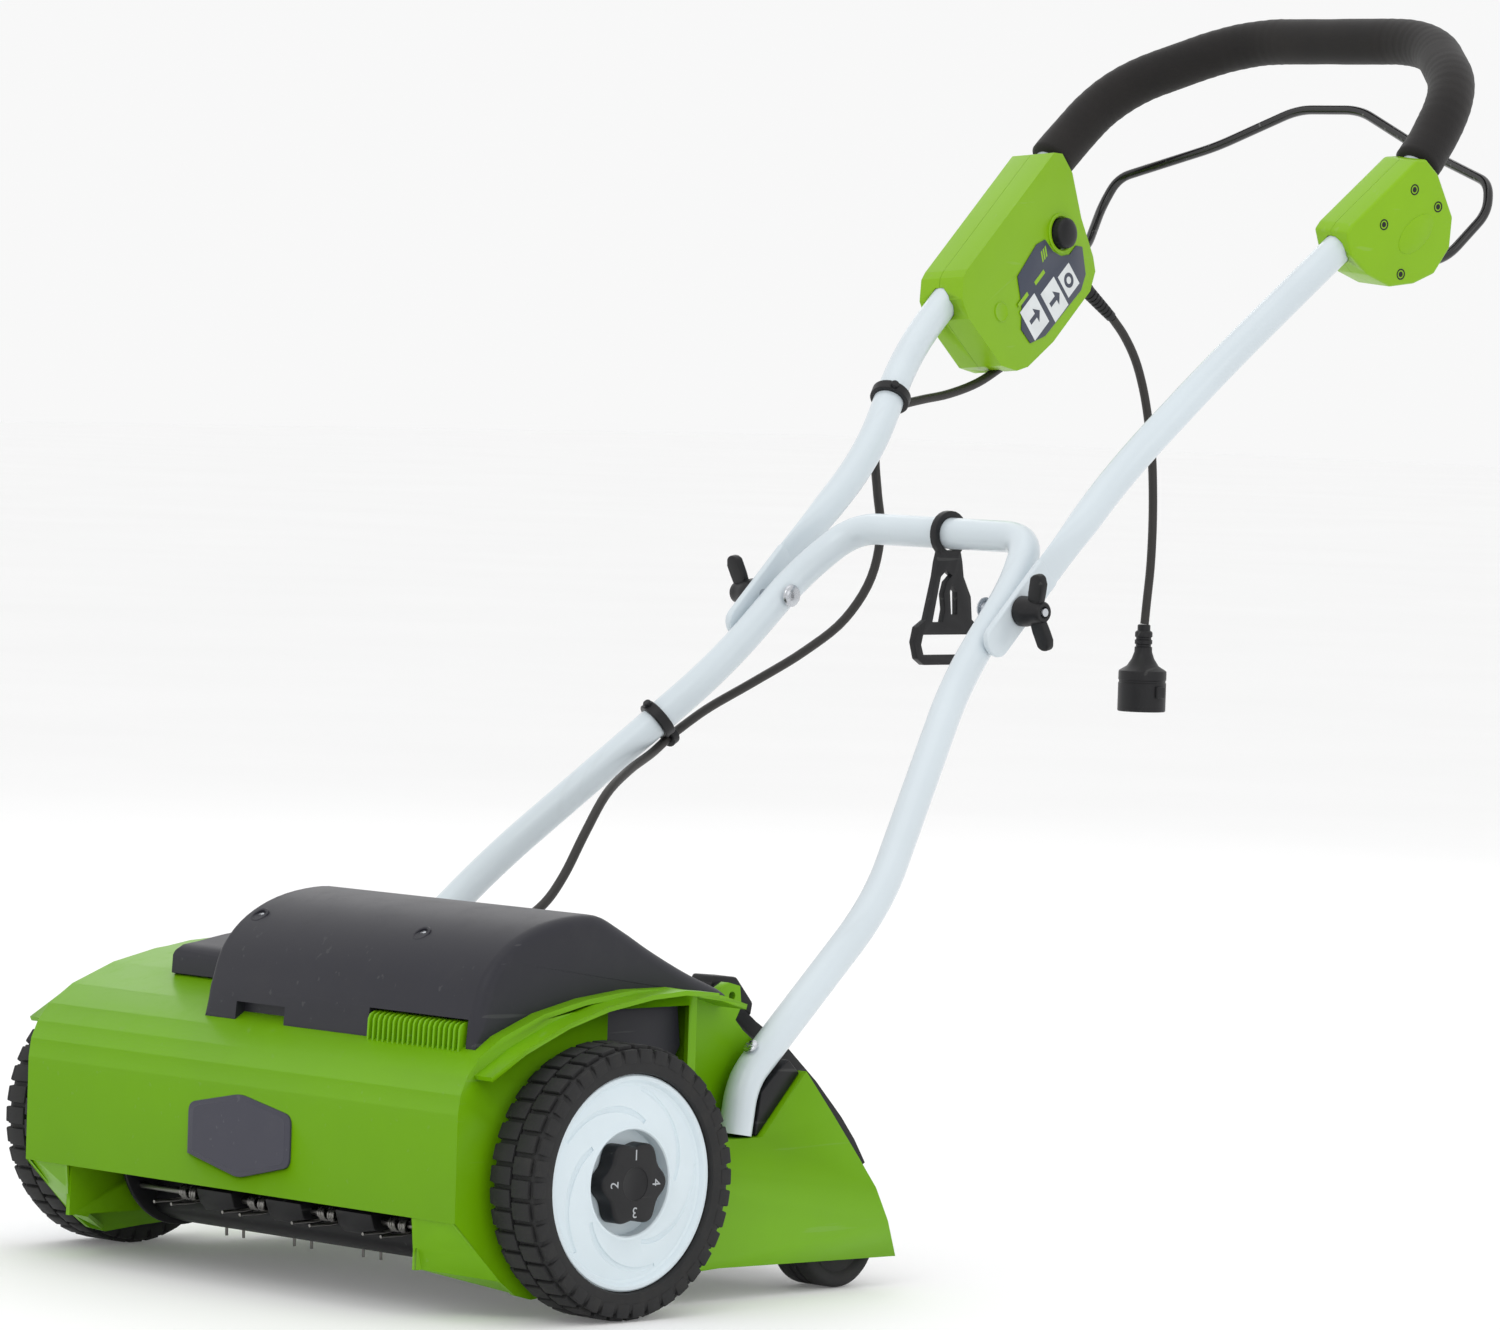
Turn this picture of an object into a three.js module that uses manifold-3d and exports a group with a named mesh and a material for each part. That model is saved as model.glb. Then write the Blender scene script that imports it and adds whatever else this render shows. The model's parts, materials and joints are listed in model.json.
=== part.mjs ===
// Corded lawn dethatcher: a moulded deck on four wheels with a spring-tine reel, and a folding
// two-part tube handle. Millimetres, +Z up, +X to the machine's right wheel as seen from the front,
// -Y the front. Shapes are laid out with the front axle at y = 0 and moved to the centre at the end.
import * as THREE from "three";
import { mergeVertices } from "three/addons/utils/BufferGeometryUtils.js";
import Module from "manifold-3d";

const wasm = await Module();
wasm.setup();

// ---- driving dimensions -------------------------------------------------------------------------
const GAP = 0.3; // between pieces that touch
const WHEEL_R = 100;
const WHEEL_OUT = 297;
const ECCENTRIC = 5; // wheel axis below the depth pivot
const PIVOT = [0, WHEEL_R + ECCENTRIC]; // y, z of the depth pivot
const AXLE = [0, WHEEL_R]; // y, z of the front wheels
const PIVOT_R = 7;
const JOURNAL_R = 9;
const HUB_R = 78.6;
const REAR_AXLE = [280, 38];
const REAR_R = 38;
const REAR_PIN_R = 5;
const SIDE_OUT = 240; // outer face of the deck's side plates
const WALL = 4;
const RECESS = 211.5; // outer face of the recessed side wall behind the wheel
const BEARING_WALL = 192; // inner face of the walls that hold the reel
const REEL = [-20, 85]; // y, z of the reel shaft
const REEL_R = 62;
const REEL_HALF = 180;
const SHAFT_R = 8;
const TINE_TIP_R = 80;
const TINE_ROD_R = 50;
const TINE_PITCH = 78;
const MOTOR = [50, 200]; // y, z of the motor shaft
const MOTOR_R = 42;
const REEL_PULLEY_R = 28;
const MOTOR_PULLEY_R = 14;
const BELT_X = [201, 211];
const FLAP_PIN = [176, 222]; // y, z of the rear guard's hinge
const FLAP_PIN_R = 3;
const TUBE_R = 12.5;
const FOAM_R = 19;
const FOAM_BORE_R = 14.3;
const FOAM_FROM_Z = 866;
const BOLT = [543, 503]; // y, z of the handle's fold axis
const BOLT_R = 4;
const TAB_X = [139.8, 146]; // flattened end of the upper tube
const CROSSBAR = [602, 558]; // y, z
const BAIL_PIVOT = [933, 785]; // y, z
const ROD_R = 4;
const CABLE_R = 3.75;

// Handle centre lines on the right side, mirrored for the left: x, y, z.
const LOWER_LINE = [
  [228, 167, 121], [228, 173, 160], [215, 323, 286], [130, 490, 448], [119, 562, 520],
  [97, CROSSBAR[0], CROSSBAR[1]],
];
const UPPER_LINE = [
  [143, 592, 551], [141, 658, 613], [174, 735, 700], [205, 928, 861], [190, 990, 926],
  [103, 1058, 969],
];
const BAIL_LINE = [
  [183, ...BAIL_PIVOT], [196, ...BAIL_PIVOT], [199, 972, 789], [213, 1006, 828],
  [205, 1016, 852], [113, 1037, 880], [34, 1050, 912],
];

// Motor cable from the switch housing to the deck, along the left handle tubes.
const UPPER_EYE = [-171.7, 709, 650];
const LOWER_EYE = [-153.5, 457, 388.5];
const CABLE_ROUTE = [
  [-181, 858, 691], [-180, 826, 676], [-179, 790, 666], [-177, 757, 661], [-174.5, 729, 656],
  UPPER_EYE, [-167, 694, 635], [-159, 686, 611], [-153, 684, 584], [-150, 686, 553],
  [-150, 677, 516], [-150, 648, 482], [-151, 604, 456], [-153, 548, 431], [-154, 500, 411],
  [-154, 478, 400], LOWER_EYE, [-149, 435, 377], [-128, 388, 364], [-108, 345, 347],
  [-96, 312, 318], [-90, 285, 286], [-86, 262, 266], [-84, 234, 252], [-83, 206, 245],
  [-83, 181, 242], [-83, 160, 234], [-83, 150, 224], [-83, 147, 213],
];
// Mains pigtail from the same housing down to its inlet plug.
const CORD_ROUTE = [
  [-184, 992, 733], [-184, 1007, 719], [-184, 1022, 699], [-184, 1033, 675], [-184, 1041, 648],
  [-184, 1047, 618], [-184, 1050, 586], [-184, 1051, 554], [-184, 1050, 522], [-184, 1047, 494],
  [-184, 1045, 474],
];
const PLUG_TOP = [-184, 1044.5, 473.6];

// ---- materials ----------------------------------------------------------------------------------
const finish = (color, roughness, metalness = 0) =>
  new THREE.MeshStandardMaterial({ color, roughness, metalness });
const GREEN = finish(0x71a910, 0.42);
const COVER_GREY = finish(0x2e2e35, 0.5);
const BLACK = finish(0x19191c, 0.5);
const PAINTED_TUBE = finish(0xcfdade, 0.35, 0.2);
const FOAM = finish(0x1e1b1b, 0.95);
const RUBBER = finish(0x242425, 0.85);
const WHITE = finish(0xdcebf2, 0.4);
const LABEL = finish(0x414655, 0.45);
const STEEL = finish(0xb5b8bc, 0.3, 0.9);
const DARK_STEEL = finish(0x3a3836, 0.45, 0.8);
const CORD = finish(0x26221f, 0.6);
const BRASS = finish(0xb59a5a, 0.35, 0.9);

// ---- geometry helpers ---------------------------------------------------------------------------
const vec = (p) => new THREE.Vector3(...p);
const shapeOf = (points) => new THREE.Shape(points.map(([a, b]) => new THREE.Vector2(a, b)));

// A closed mesh as a solid for cutting and joining.
function solid(geometry) {
  const g = geometry.clone();
  g.deleteAttribute("normal");
  g.deleteAttribute("uv");
  const merged = mergeVertices(g, 1e-4);
  return new wasm.Manifold(new wasm.Mesh({
    numProp: 3,
    vertProperties: Float32Array.from(merged.attributes.position.array),
    triVerts: Uint32Array.from(merged.index.array),
  }));
}

function geometryOf(body) {
  const mesh = body.getMesh();
  const g = new THREE.BufferGeometry();
  g.setAttribute("position", new THREE.BufferAttribute(mesh.vertProperties, 3));
  g.setIndex(new THREE.BufferAttribute(mesh.triVerts, 1));
  g.computeVertexNormals();
  return g;
}

// A prism whose outline is given in y, z and that runs from x0 to x1.
const ALONG_X = new THREE.Matrix4().makeBasis(
  new THREE.Vector3(0, 1, 0), new THREE.Vector3(0, 0, 1), new THREE.Vector3(1, 0, 0));
function prismX(outline, x0, x1, holes = [], curveSegments = 12) {
  const shape = outline instanceof THREE.Shape ? outline : shapeOf(outline);
  shape.holes.push(...holes);
  const g = new THREE.ExtrudeGeometry(shape, {
    depth: x1 - x0, bevelEnabled: false, steps: 1, curveSegments,
  });
  return g.translate(0, 0, x0).applyMatrix4(ALONG_X);
}

function circlePath([y, z], r) {
  const path = new THREE.Path();
  path.absarc(y, z, r, 0, Math.PI * 2, true);
  return path;
}

function rodX(centre, r, x0, x1, sides = 20) {
  const g = new THREE.CylinderGeometry(r, r, x1 - x0, sides);
  return g.rotateZ(-Math.PI / 2).translate((x0 + x1) / 2, centre[0], centre[1]);
}

function ringX(centre, rIn, rOut, x0, x1, sides = 24) {
  const side = side01(x0, x1);
  return latheX([[rIn, side[0]], [rOut, side[0]], [rOut, side[1]], [rIn, side[1]]], centre, sides);
}
const side01 = (a, b) => [Math.min(a, b), Math.max(a, b)];

// Turns a closed profile of [radius, x] points round the X direction through centre.
function latheX(profile, centre, sides) {
  const closed = [...profile, profile[0]];
  const points = closed.map(([r, x]) => new THREE.Vector2(r, x));
  const g = new THREE.LatheGeometry(points, sides);
  return g.rotateZ(-Math.PI / 2).translate(0, centre[0], centre[1]);
}

const box = (x0, x1, y0, y1, z0, z1) => new THREE.BoxGeometry(x1 - x0, y1 - y0, z1 - z0)
  .translate((x0 + x1) / 2, (y0 + y1) / 2, (z0 + z1) / 2);

// A path through corner points with each corner rounded over the length given.
function roundedPath(points, reach) {
  const path = new THREE.CurvePath();
  let from = vec(points[0]);
  for (let i = 1; i < points.length - 1; i += 1) {
    const corner = vec(points[i]);
    const back = vec(points[i - 1]).sub(corner);
    const ahead = vec(points[i + 1]).sub(corner);
    const cut = Math.min(reach, back.length() * 0.45, ahead.length() * 0.45);
    const a = corner.clone().addScaledVector(back.normalize(), cut);
    const b = corner.clone().addScaledVector(ahead.normalize(), cut);
    path.add(new THREE.LineCurve3(from, a));
    path.add(new THREE.QuadraticBezierCurve3(a, corner, b));
    from = b;
  }
  path.add(new THREE.LineCurve3(from, vec(points.at(-1))));
  return path;
}

function sweep(path, r, steps, sides = 10, bore = 0) {
  const shape = new THREE.Shape();
  shape.absarc(0, 0, r, 0, Math.PI * 2, false);
  if (bore) shape.holes.push(circlePath([0, 0], bore));
  return new THREE.ExtrudeGeometry(shape, {
    extrudePath: path, steps, curveSegments: sides / 2, bevelEnabled: false,
  });
}

const mirrored = (line) => line.map(([x, y, z]) => [-x, y, z]);
const wholeLoop = (line) => [...line, ...mirrored(line).reverse()];
const mirror = (body) => body.mirror([1, 0, 0]);

const group = new THREE.Group();
function add(name, geometry, material) {
  const mesh = new THREE.Mesh(geometry.isBufferGeometry ? geometry : geometryOf(geometry), material);
  mesh.name = name;
  group.add(mesh);
}
const SIDES = [["right", 1], ["left", -1]];
const placed = (body, s) => (s > 0 ? body : mirror(body));

// ---- deck ---------------------------------------------------------------------------------------
const DOME = [
  [-123, 72], [-123, 150], [-121, 164], [-115, 177], [-104, 190], [-82, 204], [-42, 219],
  [0, 228], [45, 233], [90, 233], [138, 226], [164, 218.5],
];
const ARCH = [[-108, 178], [-76, 196], [-34, 213], [6, 224], [50, 231], [84, 233], [117, 230]];

// The strip between an open line and the same line moved inwards.
function strip(line, thick) {
  const inner = line.map((p, i) => {
    const a = line[Math.max(i - 1, 0)];
    const b = line[Math.min(i + 1, line.length - 1)];
    const run = new THREE.Vector2(b[0] - a[0], b[1] - a[1]).normalize();
    return [p[0] + run.y * thick, p[1] - run.x * thick];
  });
  return [...line, ...inner.reverse()];
}

const SIDE_PLATE = [
  [-121, 160], [-122.5, 72], [-76, 27], [-62, 17], [-46, 13], [-10, 16], [143, 24], [329, 22],
  [320, 49], [306, 75], [287, 98], [258, 132], [228, 166], [186, 119], [112, 119],
  [112, 228], [50, 229], [6, 222], [-42, 215], [-82, 200], [-104, 187], [-114, 176],
];
const RECESS_WALL = [
  [108, 116], [188, 116], [226, 160], [216, 176], [188, 196], [172, 212], [158, 220], [136, 226],
  [108, 229],
];

const FLAP_LUG = [[158, 214], [178, 200], [186, 214], [184, 229], [172, 232], [160, 226]];

function deckShell() {
  let deck = solid(prismX(strip(DOME, WALL), -SIDE_OUT, SIDE_OUT));
  for (const [, s] of SIDES) {
    let wing = solid(prismX(SIDE_PLATE, SIDE_OUT - WALL, SIDE_OUT));
    wing = wing.add(solid(prismX(strip(ARCH, 3.5), SIDE_OUT - WALL, 258)));
    wing = wing.add(solid(prismX(RECESS_WALL, RECESS - WALL, RECESS)));
    wing = wing.add(solid(box(RECESS - WALL, SIDE_OUT, 108, 112, 116, 227)));
    wing = wing.add(solid(box(RECESS - WALL, SIDE_OUT, 108, 187, 115, 119)));
    const ledge = [[184, 119], [188, 115], [231, 162.5], [228, 166]];
    wing = wing.add(solid(prismX(ledge, RECESS - WALL, SIDE_OUT)));
    const bearingWall = [[-119, 34], [40, 34], [62, 60], [62, 226], [0, 225], [-60, 208], [-116, 168]];
    wing = wing.add(solid(prismX(bearingWall, BEARING_WALL, BEARING_WALL + WALL)));
    wing = wing.add(solid(rodX(PIVOT, 15, SIDE_OUT - WALL, 245.5, 24)));
    wing = wing.add(solid(rodX(REAR_AXLE, 11, 232.5, SIDE_OUT, 16)));
    wing = wing.subtract(solid(rodX(PIVOT, PIVOT_R + GAP, 225, 250)));
    wing = wing.subtract(solid(rodX(REEL, 14 + GAP, 190, 200)));
    wing = wing.subtract(solid(rodX(REAR_AXLE, REAR_PIN_R + GAP, 225, 238, 16)));
    deck = deck.add(placed(wing, s));
  }
  deck = deck.subtract(solid(rodX(MOTOR, 12, 190, 200)));
  deck = deck.subtract(solid(box(SIDE_OUT - WALL - 1, SIDE_OUT + 1, 22, 104, 150, 220)));
  deck = deck.subtract(solid(box(-46, 186, 2, 98, 215, 240)));
  deck = deck.subtract(solid(box(-90, -76, 140, 156, 212, 240)));
  for (const [, s] of SIDES) {
    const lug = solid(prismX(FLAP_LUG, 203.5, RECESS));
    const pinBore = solid(rodX(FLAP_PIN, FLAP_PIN_R + GAP, 196, 215, 12));
    deck = deck.add(placed(lug, s)).subtract(placed(pinBore, s));
  }
  return deck;
}

function frontBadge() {
  const cx = 5;
  const cz = 113;
  const outline = [[-57, 20], [-57, -18], [0, -31], [57, -18], [57, 20], [0, 31]];
  const shape = shapeOf(outline.map(([x, z]) => [x + cx, z + cz]));
  const g = new THREE.ExtrudeGeometry(shape, { depth: 1.6, bevelEnabled: false });
  return g.rotateX(Math.PI / 2).translate(0, -123 - GAP, 0);
}

// ---- motor cover, motor and drive ---------------------------------------------------------------
const HOOD = [
  [-97, 197.5], [-95, 217], [-85, 245], [-68, 264], [-40, 279], [-5, 287], [25, 287], [50, 276],
  [80, 260], [118, 242], [150, 229.5], [154, 227],
];
const HOOD_X = [-68, 228];
const STEP = [[-52, 217.5], [-49, 236], [-28, 241], [10, 247], [60, 250], [104, 246], [108, 232.5]];

function motorCover() {
  const seat = [...DOME.slice(4), [160, 221]];
  const under = [[-400, -10], [-400, 150], ...seat.map(([y, z]) => [y, z + GAP]), [400, 150], [400, -10]];
  const deckSpace = solid(prismX(under, -300, 300));
  const full = [...HOOD, [150, 150], [-97, 150]];
  let hood = solid(prismX(full, ...HOOD_X));
  const inner = HOOD.slice(1, -2).map(([y, z]) => [y * 0.95 + 1, z - 4.5]);
  const hollow = [[-88, 190], ...inner, [128, 190]];
  const step = solid(prismX([...STEP, [108, 150], [-52, 150]], -160, HOOD_X[0] + 1));
  const stepHollow = [[-44, 190], [-44, 230], [-26, 236], [10, 242], [60, 245], [98, 241], [98, 190]];
  hood = hood.add(step);
  hood = hood.subtract(solid(prismX(hollow, HOOD_X[0] + 5, HOOD_X[1] - 5)));
  hood = hood.subtract(solid(prismX(stepHollow, -155, HOOD_X[0] + 6)));
  const scoop = solid(prismX([[-120, 190], [-120, 208], [-88, 208], [-86, 190]], -34, 20));
  const comb = solid(prismX([[-120, 180], [-120, 215.5], [-84, 215.5], [-84, 180]], 112, 218));
  return hood.subtract(deckSpace).subtract(scoop).subtract(comb);
}

function motor() {
  const can = solid(rodX(MOTOR, MOTOR_R, -36, 168, 28));
  const nose = solid(rodX(MOTOR, 18, 160, 182, 20));
  const endCap = solid(rodX(MOTOR, 24, -44, -30, 20));
  return can.add(nose).add(endCap).subtract(solid(rodX(MOTOR, 6 + GAP, 140, 190)));
}

function motorPulley() {
  const shaft = solid(rodX(MOTOR, 6, 142, 213.2, 16));
  return shaft.add(solid(rodX(MOTOR, MOTOR_PULLEY_R, ...BELT_X, 24)));
}

function beltLoop(extra) {
  const a = new THREE.Vector2(...REEL);
  const b = new THREE.Vector2(...MOTOR);
  const gap = b.clone().sub(a);
  const heading = gap.angle();
  const ra = REEL_PULLEY_R + extra;
  const rb = MOTOR_PULLEY_R + extra;
  const lean = Math.acos((ra - rb) / gap.length());
  const points = [];
  const arc = (c, r, from, to) => {
    for (let i = 0; i <= 12; i += 1) {
      const t = from + ((to - from) * i) / 12;
      points.push([c.x + r * Math.cos(t), c.y + r * Math.sin(t)]);
    }
  };
  arc(a, ra, heading + lean, heading + Math.PI * 2 - lean);
  arc(b, rb, heading - lean, heading + lean);
  return points;
}

function belt() {
  const hole = new THREE.Path(beltLoop(0.8).map(([y, z]) => new THREE.Vector2(y, z)));
  return prismX(beltLoop(3.8), BELT_X[0] + 1, BELT_X[1] - 1, [hole]);
}

function beltGuard() {
  const outline = [
    [14, 186], [22, 221], [100, 221], [104, 190], [72, 140], [30, 60], [6, 46], [-30, 42], [-62, 58],
    [-66, 96], [-44, 128],
  ];
  const centre = [18, 130];
  const inner = outline.map(([y, z]) => [
    centre[0] + (y - centre[0]) * 0.92, centre[1] + (z - centre[1]) * 0.94]);
  const tray = solid(prismX(outline, RECESS + GAP, 232));
  return tray.subtract(solid(prismX(inner, RECESS - 5, 229)));
}

// ---- reel ---------------------------------------------------------------------------------------
const ROWS = 4;
const rowAngle = (i) => Math.PI / 2 + 0.35 + (i * Math.PI * 2) / ROWS;
const onReel = (r, across, angle) => [
  REEL[0] + r * Math.cos(angle) - across * Math.sin(angle),
  REEL[1] + r * Math.sin(angle) + across * Math.cos(angle),
];

function reelRotor() {
  let rotor = solid(rodX(REEL, SHAFT_R, -204, 213.2, 20));
  rotor = rotor.add(solid(rodX(REEL, 24, -REEL_HALF, REEL_HALF, 16)));
  for (const x of [-REEL_HALF, REEL_HALF - 5]) {
    rotor = rotor.add(solid(rodX(REEL, REEL_R, x, x + 5, 28)));
  }
  for (let i = 0; i < ROWS; i += 1) {
    const blade = [[18, -5], [58, -5], [REEL_R, -1], [58, 3], [18, 5]]
      .map(([r, across]) => onReel(r, across, rowAngle(i)));
    rotor = rotor.add(solid(prismX(blade, -REEL_HALF, REEL_HALF)));
  }
  for (let i = 0; i < ROWS; i += 1) {
    const seat = onReel(TINE_ROD_R, 13, rowAngle(i));
    rotor = rotor.subtract(solid(rodX(seat, 2.5 + 2 * GAP, -190, 190, 8)));
  }
  return rotor;
}

// A steel rod with sprung double tines: two coils each, and two legs that reach the turf.
function tineBar(i) {
  const angle = rowAngle(i);
  const centre = onReel(TINE_ROD_R, 13, angle);
  let bar = solid(rodX(centre, 2.5, -183, 183, 8));
  const count = i % 2 ? 4 : 5;
  const start = (-(count - 1) * TINE_PITCH) / 2;
  for (let k = 0; k < count; k += 1) {
    const x = start + k * TINE_PITCH;
    bar = bar.add(solid(rodX(centre, 6, x - 11, x + 11, 8)));
    for (const s of [-1, 1]) {
      const leg = [[48, 17], [TINE_TIP_R - 1, 11], [TINE_TIP_R - 1.5, 8], [48, 14]]
        .map(([r, across]) => onReel(r, across, angle));
      bar = bar.add(solid(prismX(leg, x + s * 9 - 1.5, x + s * 9 + 1.5)));
    }
  }
  return bar;
}

// ---- rear guard ---------------------------------------------------------------------------------
const FLAP_HALF = 196;
const FLAP = [
  [170, 231], [190, 220], [217, 200], [250, 180], [283, 152], [311, 124], [326, 106], [338, 88],
];

function rearFlap() {
  let flap = solid(prismX(strip(FLAP, 4), -FLAP_HALF, FLAP_HALF));
  const barrel = solid(rodX(FLAP_PIN, 8, -FLAP_HALF, FLAP_HALF, 16));
  for (const x of [-FLAP_HALF, FLAP_HALF - 5]) {
    flap = flap.add(solid(prismX(strip(FLAP, 11), x, x + 5)));
  }
  return flap.add(barrel).subtract(solid(rodX(FLAP_PIN, FLAP_PIN_R + GAP, -200, 200, 12)));
}

// ---- handle -------------------------------------------------------------------------------------
// Saddle that carries the foot of the lower tube, in the deck's side recess.
const SADDLE = [[181, 119.6], [183.3, 119.6], [225.5, 164.6], [214, 175], [198, 162], [187, 152]];

const clearTube = () => solid(sweep(lowerPath, TUBE_R + 0.9, 58));
const handleSaddle = () => solid(prismX(SADDLE, RECESS + GAP, 235)).subtract(clearTube());

const lowerPath = roundedPath(wholeLoop(LOWER_LINE), 44);
const upperPath = roundedPath(wholeLoop(UPPER_LINE), 44);
const UPPER_STEPS = 62;
const clearUpper = () => solid(sweep(upperPath, TUBE_R + 0.9, UPPER_STEPS));
const SCREW_AT = [228, 190, 175]; // on the tube's centre line
const SCREW_DIR = new THREE.Vector3(0, -0.66, 0.75).normalize();

function alongScrew(r, from, to, sides = 12) {
  const g = new THREE.CylinderGeometry(r, r, to - from, sides).translate(0, (from + to) / 2, 0);
  const turn = new THREE.Quaternion().setFromUnitVectors(new THREE.Vector3(0, 1, 0), SCREW_DIR);
  return g.applyQuaternion(turn).translate(...SCREW_AT);
}

function lowerHandle() {
  let tube = solid(sweep(lowerPath, TUBE_R, 58));
  for (const [, s] of SIDES) {
    tube = tube.subtract(placed(solid(rodX(BOLT, BOLT_R + GAP, 90, 150, 12)), s));
    tube = tube.subtract(placed(solid(alongScrew(3.3, -4, 20)), s));
  }
  return tube;
}

function upperHandle() {
  let tube = solid(sweep(upperPath, TUBE_R, UPPER_STEPS));
  const rise = Math.atan2(551 - BOLT[1], 592 - BOLT[0]);
  for (const [, s] of SIDES) {
    const ends = [
      [-44, 11], [-44, -11], [-36, -13.5], [52, -13.5], [66, -11], [66, 11], [52, 13.5], [-36, 13.5],
    ];
    const outline = ends.map(([along, across]) => [
      BOLT[0] + along * Math.cos(rise) - across * Math.sin(rise),
      BOLT[1] + along * Math.sin(rise) + across * Math.cos(rise),
    ]);
    const tab = solid(prismX(outline, ...TAB_X));
    const taper = [[40, 12.8], [40, -12.8], [74, -11], [74, 11]].map(([along, across]) => [
      BOLT[0] + along * Math.cos(rise) - across * Math.sin(rise),
      BOLT[1] + along * Math.sin(rise) + across * Math.cos(rise),
    ]);
    const swell = solid(prismX(taper, TAB_X[0] - 3, TAB_X[1] + 3));
    tube = tube.add(placed(tab.add(swell), s));
    tube = tube.subtract(placed(solid(rodX(BOLT, BOLT_R + GAP, 120, 160, 12)), s));
  }
  return tube;
}

function carriageBolt() {
  const head = latheX([[0, 103.6], [4, 103.8], [8, 105.4], [9, 107.6], [0, 107.6]], BOLT, 16);
  return solid(head).add(solid(rodX(BOLT, BOLT_R, 106, 172, 12)));
}

function wingKnob() {
  let knob = solid(rodX(BOLT, 12, 146.4, 161, 20)).add(solid(rodX(BOLT, 8, 150, 171, 16)));
  const wing = [[-4, 158], [6, 156], [28, 162], [30, 173], [22, 175], [8, 170], [-4, 169]];
  const lean = 0.2;
  for (const s of [1, -1]) {
    const g = new THREE.ExtrudeGeometry(shapeOf(wing), { depth: 7, bevelEnabled: false });
    g.translate(0, 0, -3.5).rotateX(Math.PI / 2);
    // wing lies in the plane of the knob's axis: its length runs outwards from the axis
    g.applyMatrix4(new THREE.Matrix4().makeBasis(
      new THREE.Vector3(0, 0, s), new THREE.Vector3(0, -s, 0), new THREE.Vector3(1, 0, 0)));
    g.rotateX(lean).translate(0, BOLT[0], BOLT[1]);
    knob = knob.add(solid(g));
  }
  return knob.subtract(solid(rodX(BOLT, BOLT_R + GAP, 140, 180, 12)));
}

// The stretch of the upper tube above the housings.
function foamPath() {
  let from = 0;
  while (upperPath.getPointAt(from).z < FOAM_FROM_Z) from += 0.001;
  const samples = 40;
  const points = Array.from({ length: samples + 1 }, (_, i) =>
    upperPath.getPointAt(from + ((1 - 2 * from) * i) / samples));
  return new THREE.CatmullRomCurve3(points);
}

// ---- housings at the top of the handle ----------------------------------------------------------
// A frame that follows the tube: u along it, w towards the operator's knees, n to the machine's
// right.
function tubeFrame(s, start, end) {
  const a = new THREE.Vector3(s * start[0], start[1], start[2]);
  const u = new THREE.Vector3(s * end[0], end[1], end[2]).sub(a).normalize();
  const n = new THREE.Vector3(1, 0, 0).addScaledVector(u, -u.x).normalize();
  const w = new THREE.Vector3().crossVectors(u, n);
  if (w.z > 0) w.negate();
  const flip = new THREE.Vector3().crossVectors(u, w).dot(n) < 0;
  return { a, u, w, n, flip };
}

function slab(frame, outline, n0, n1, holes = []) {
  const shape = shapeOf(outline);
  shape.holes.push(...holes);
  const g = new THREE.ExtrudeGeometry(shape, { depth: n1 - n0, bevelEnabled: false, curveSegments: 8 });
  g.translate(0, 0, n0);
  const { a, u, w, n, flip } = frame;
  g.applyMatrix4(new THREE.Matrix4().makeBasis(u, w, n).setPosition(a));
  if (flip) {
    const flat = g.index ? g.toNonIndexed() : g;
    const p = flat.attributes.position;
    for (let i = 0; i < p.count; i += 3) {
      const one = new THREE.Vector3().fromBufferAttribute(p, i + 1);
      const two = new THREE.Vector3().fromBufferAttribute(p, i + 2);
      p.setXYZ(i + 1, two.x, two.y, two.z);
      p.setXYZ(i + 2, one.x, one.y, one.z);
    }
    return flat;
  }
  return g;
}

const disc = (u, w, r, sides = 20) => Array.from({ length: sides }, (_, i) => {
  const t = (i * Math.PI * 2) / sides;
  return [u + r * Math.cos(t), w + r * Math.sin(t)];
});

const LEFT_FRAME = tubeFrame(-1, [184.2, 798, 752.6], [205, 928, 861]);
const RIGHT_FRAME = tubeFrame(1, [193.4, 855, 800.2], [205, 928, 861]);
const LEFT_OUTLINE = [
  [-8, -18], [0, -19.5], [158, -19.5], [166, -12], [166, 8], [150, 44], [141, 78], [135, 89],
  [118, 97], [50, 97], [9, 91], [-5, 84], [-18, 68], [-26, 12], [-22, -6],
];
const RIGHT_OUTLINE = [
  [-8, -17], [0, -19], [84, -19], [93, -13], [97, 5], [91, 44], [75, 63], [50, 70], [28, 63],
  [6, 49], [-8, 26], [-14, 2],
];
const BUTTON = [119, 36];

// Two half shells that clamp the tube, hollow beside it, with a mouth for the bail's rod.
function housingHalf(frame, outline, n0, n1, cavity, mouth, mouthDepth) {
  let half = solid(slab(frame, outline, n0, n1));
  const outer = Math.abs(n0) > Math.abs(n1) ? n0 : n1;
  const wall = 3 * Math.sign(outer);
  const [c0, c1] = side01(0, outer - wall);
  half = half.subtract(solid(slab(frame, cavity, c0 - (c0 === 0 ? 1 : 0), c1 + (c1 === 0 ? 1 : 0))));
  half = half.subtract(solid(slab(frame, mouth, ...mouthDepth)));
  return half.subtract(clearUpper());
}

const LEFT_CAVITY = [[2, 20], [132, 20], [138, 46], [128, 80], [116, 90], [52, 90], [14, 84], [-8, 62]];
const LEFT_MOUTH = [[100, 50], [124, 40], [150, 50], [172, 70], [150, 112], [126, 108], [118, 84]];
const RIGHT_CAVITY = [[6, 20], [80, 20], [84, 42], [70, 59], [50, 66.6], [30, 60], [14, 48]];
const RIGHT_MOUTH = [[32, 52], [60, 34], [80, 30], [104, 50], [90, 96], [60, 92], [42, 74]];

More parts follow.
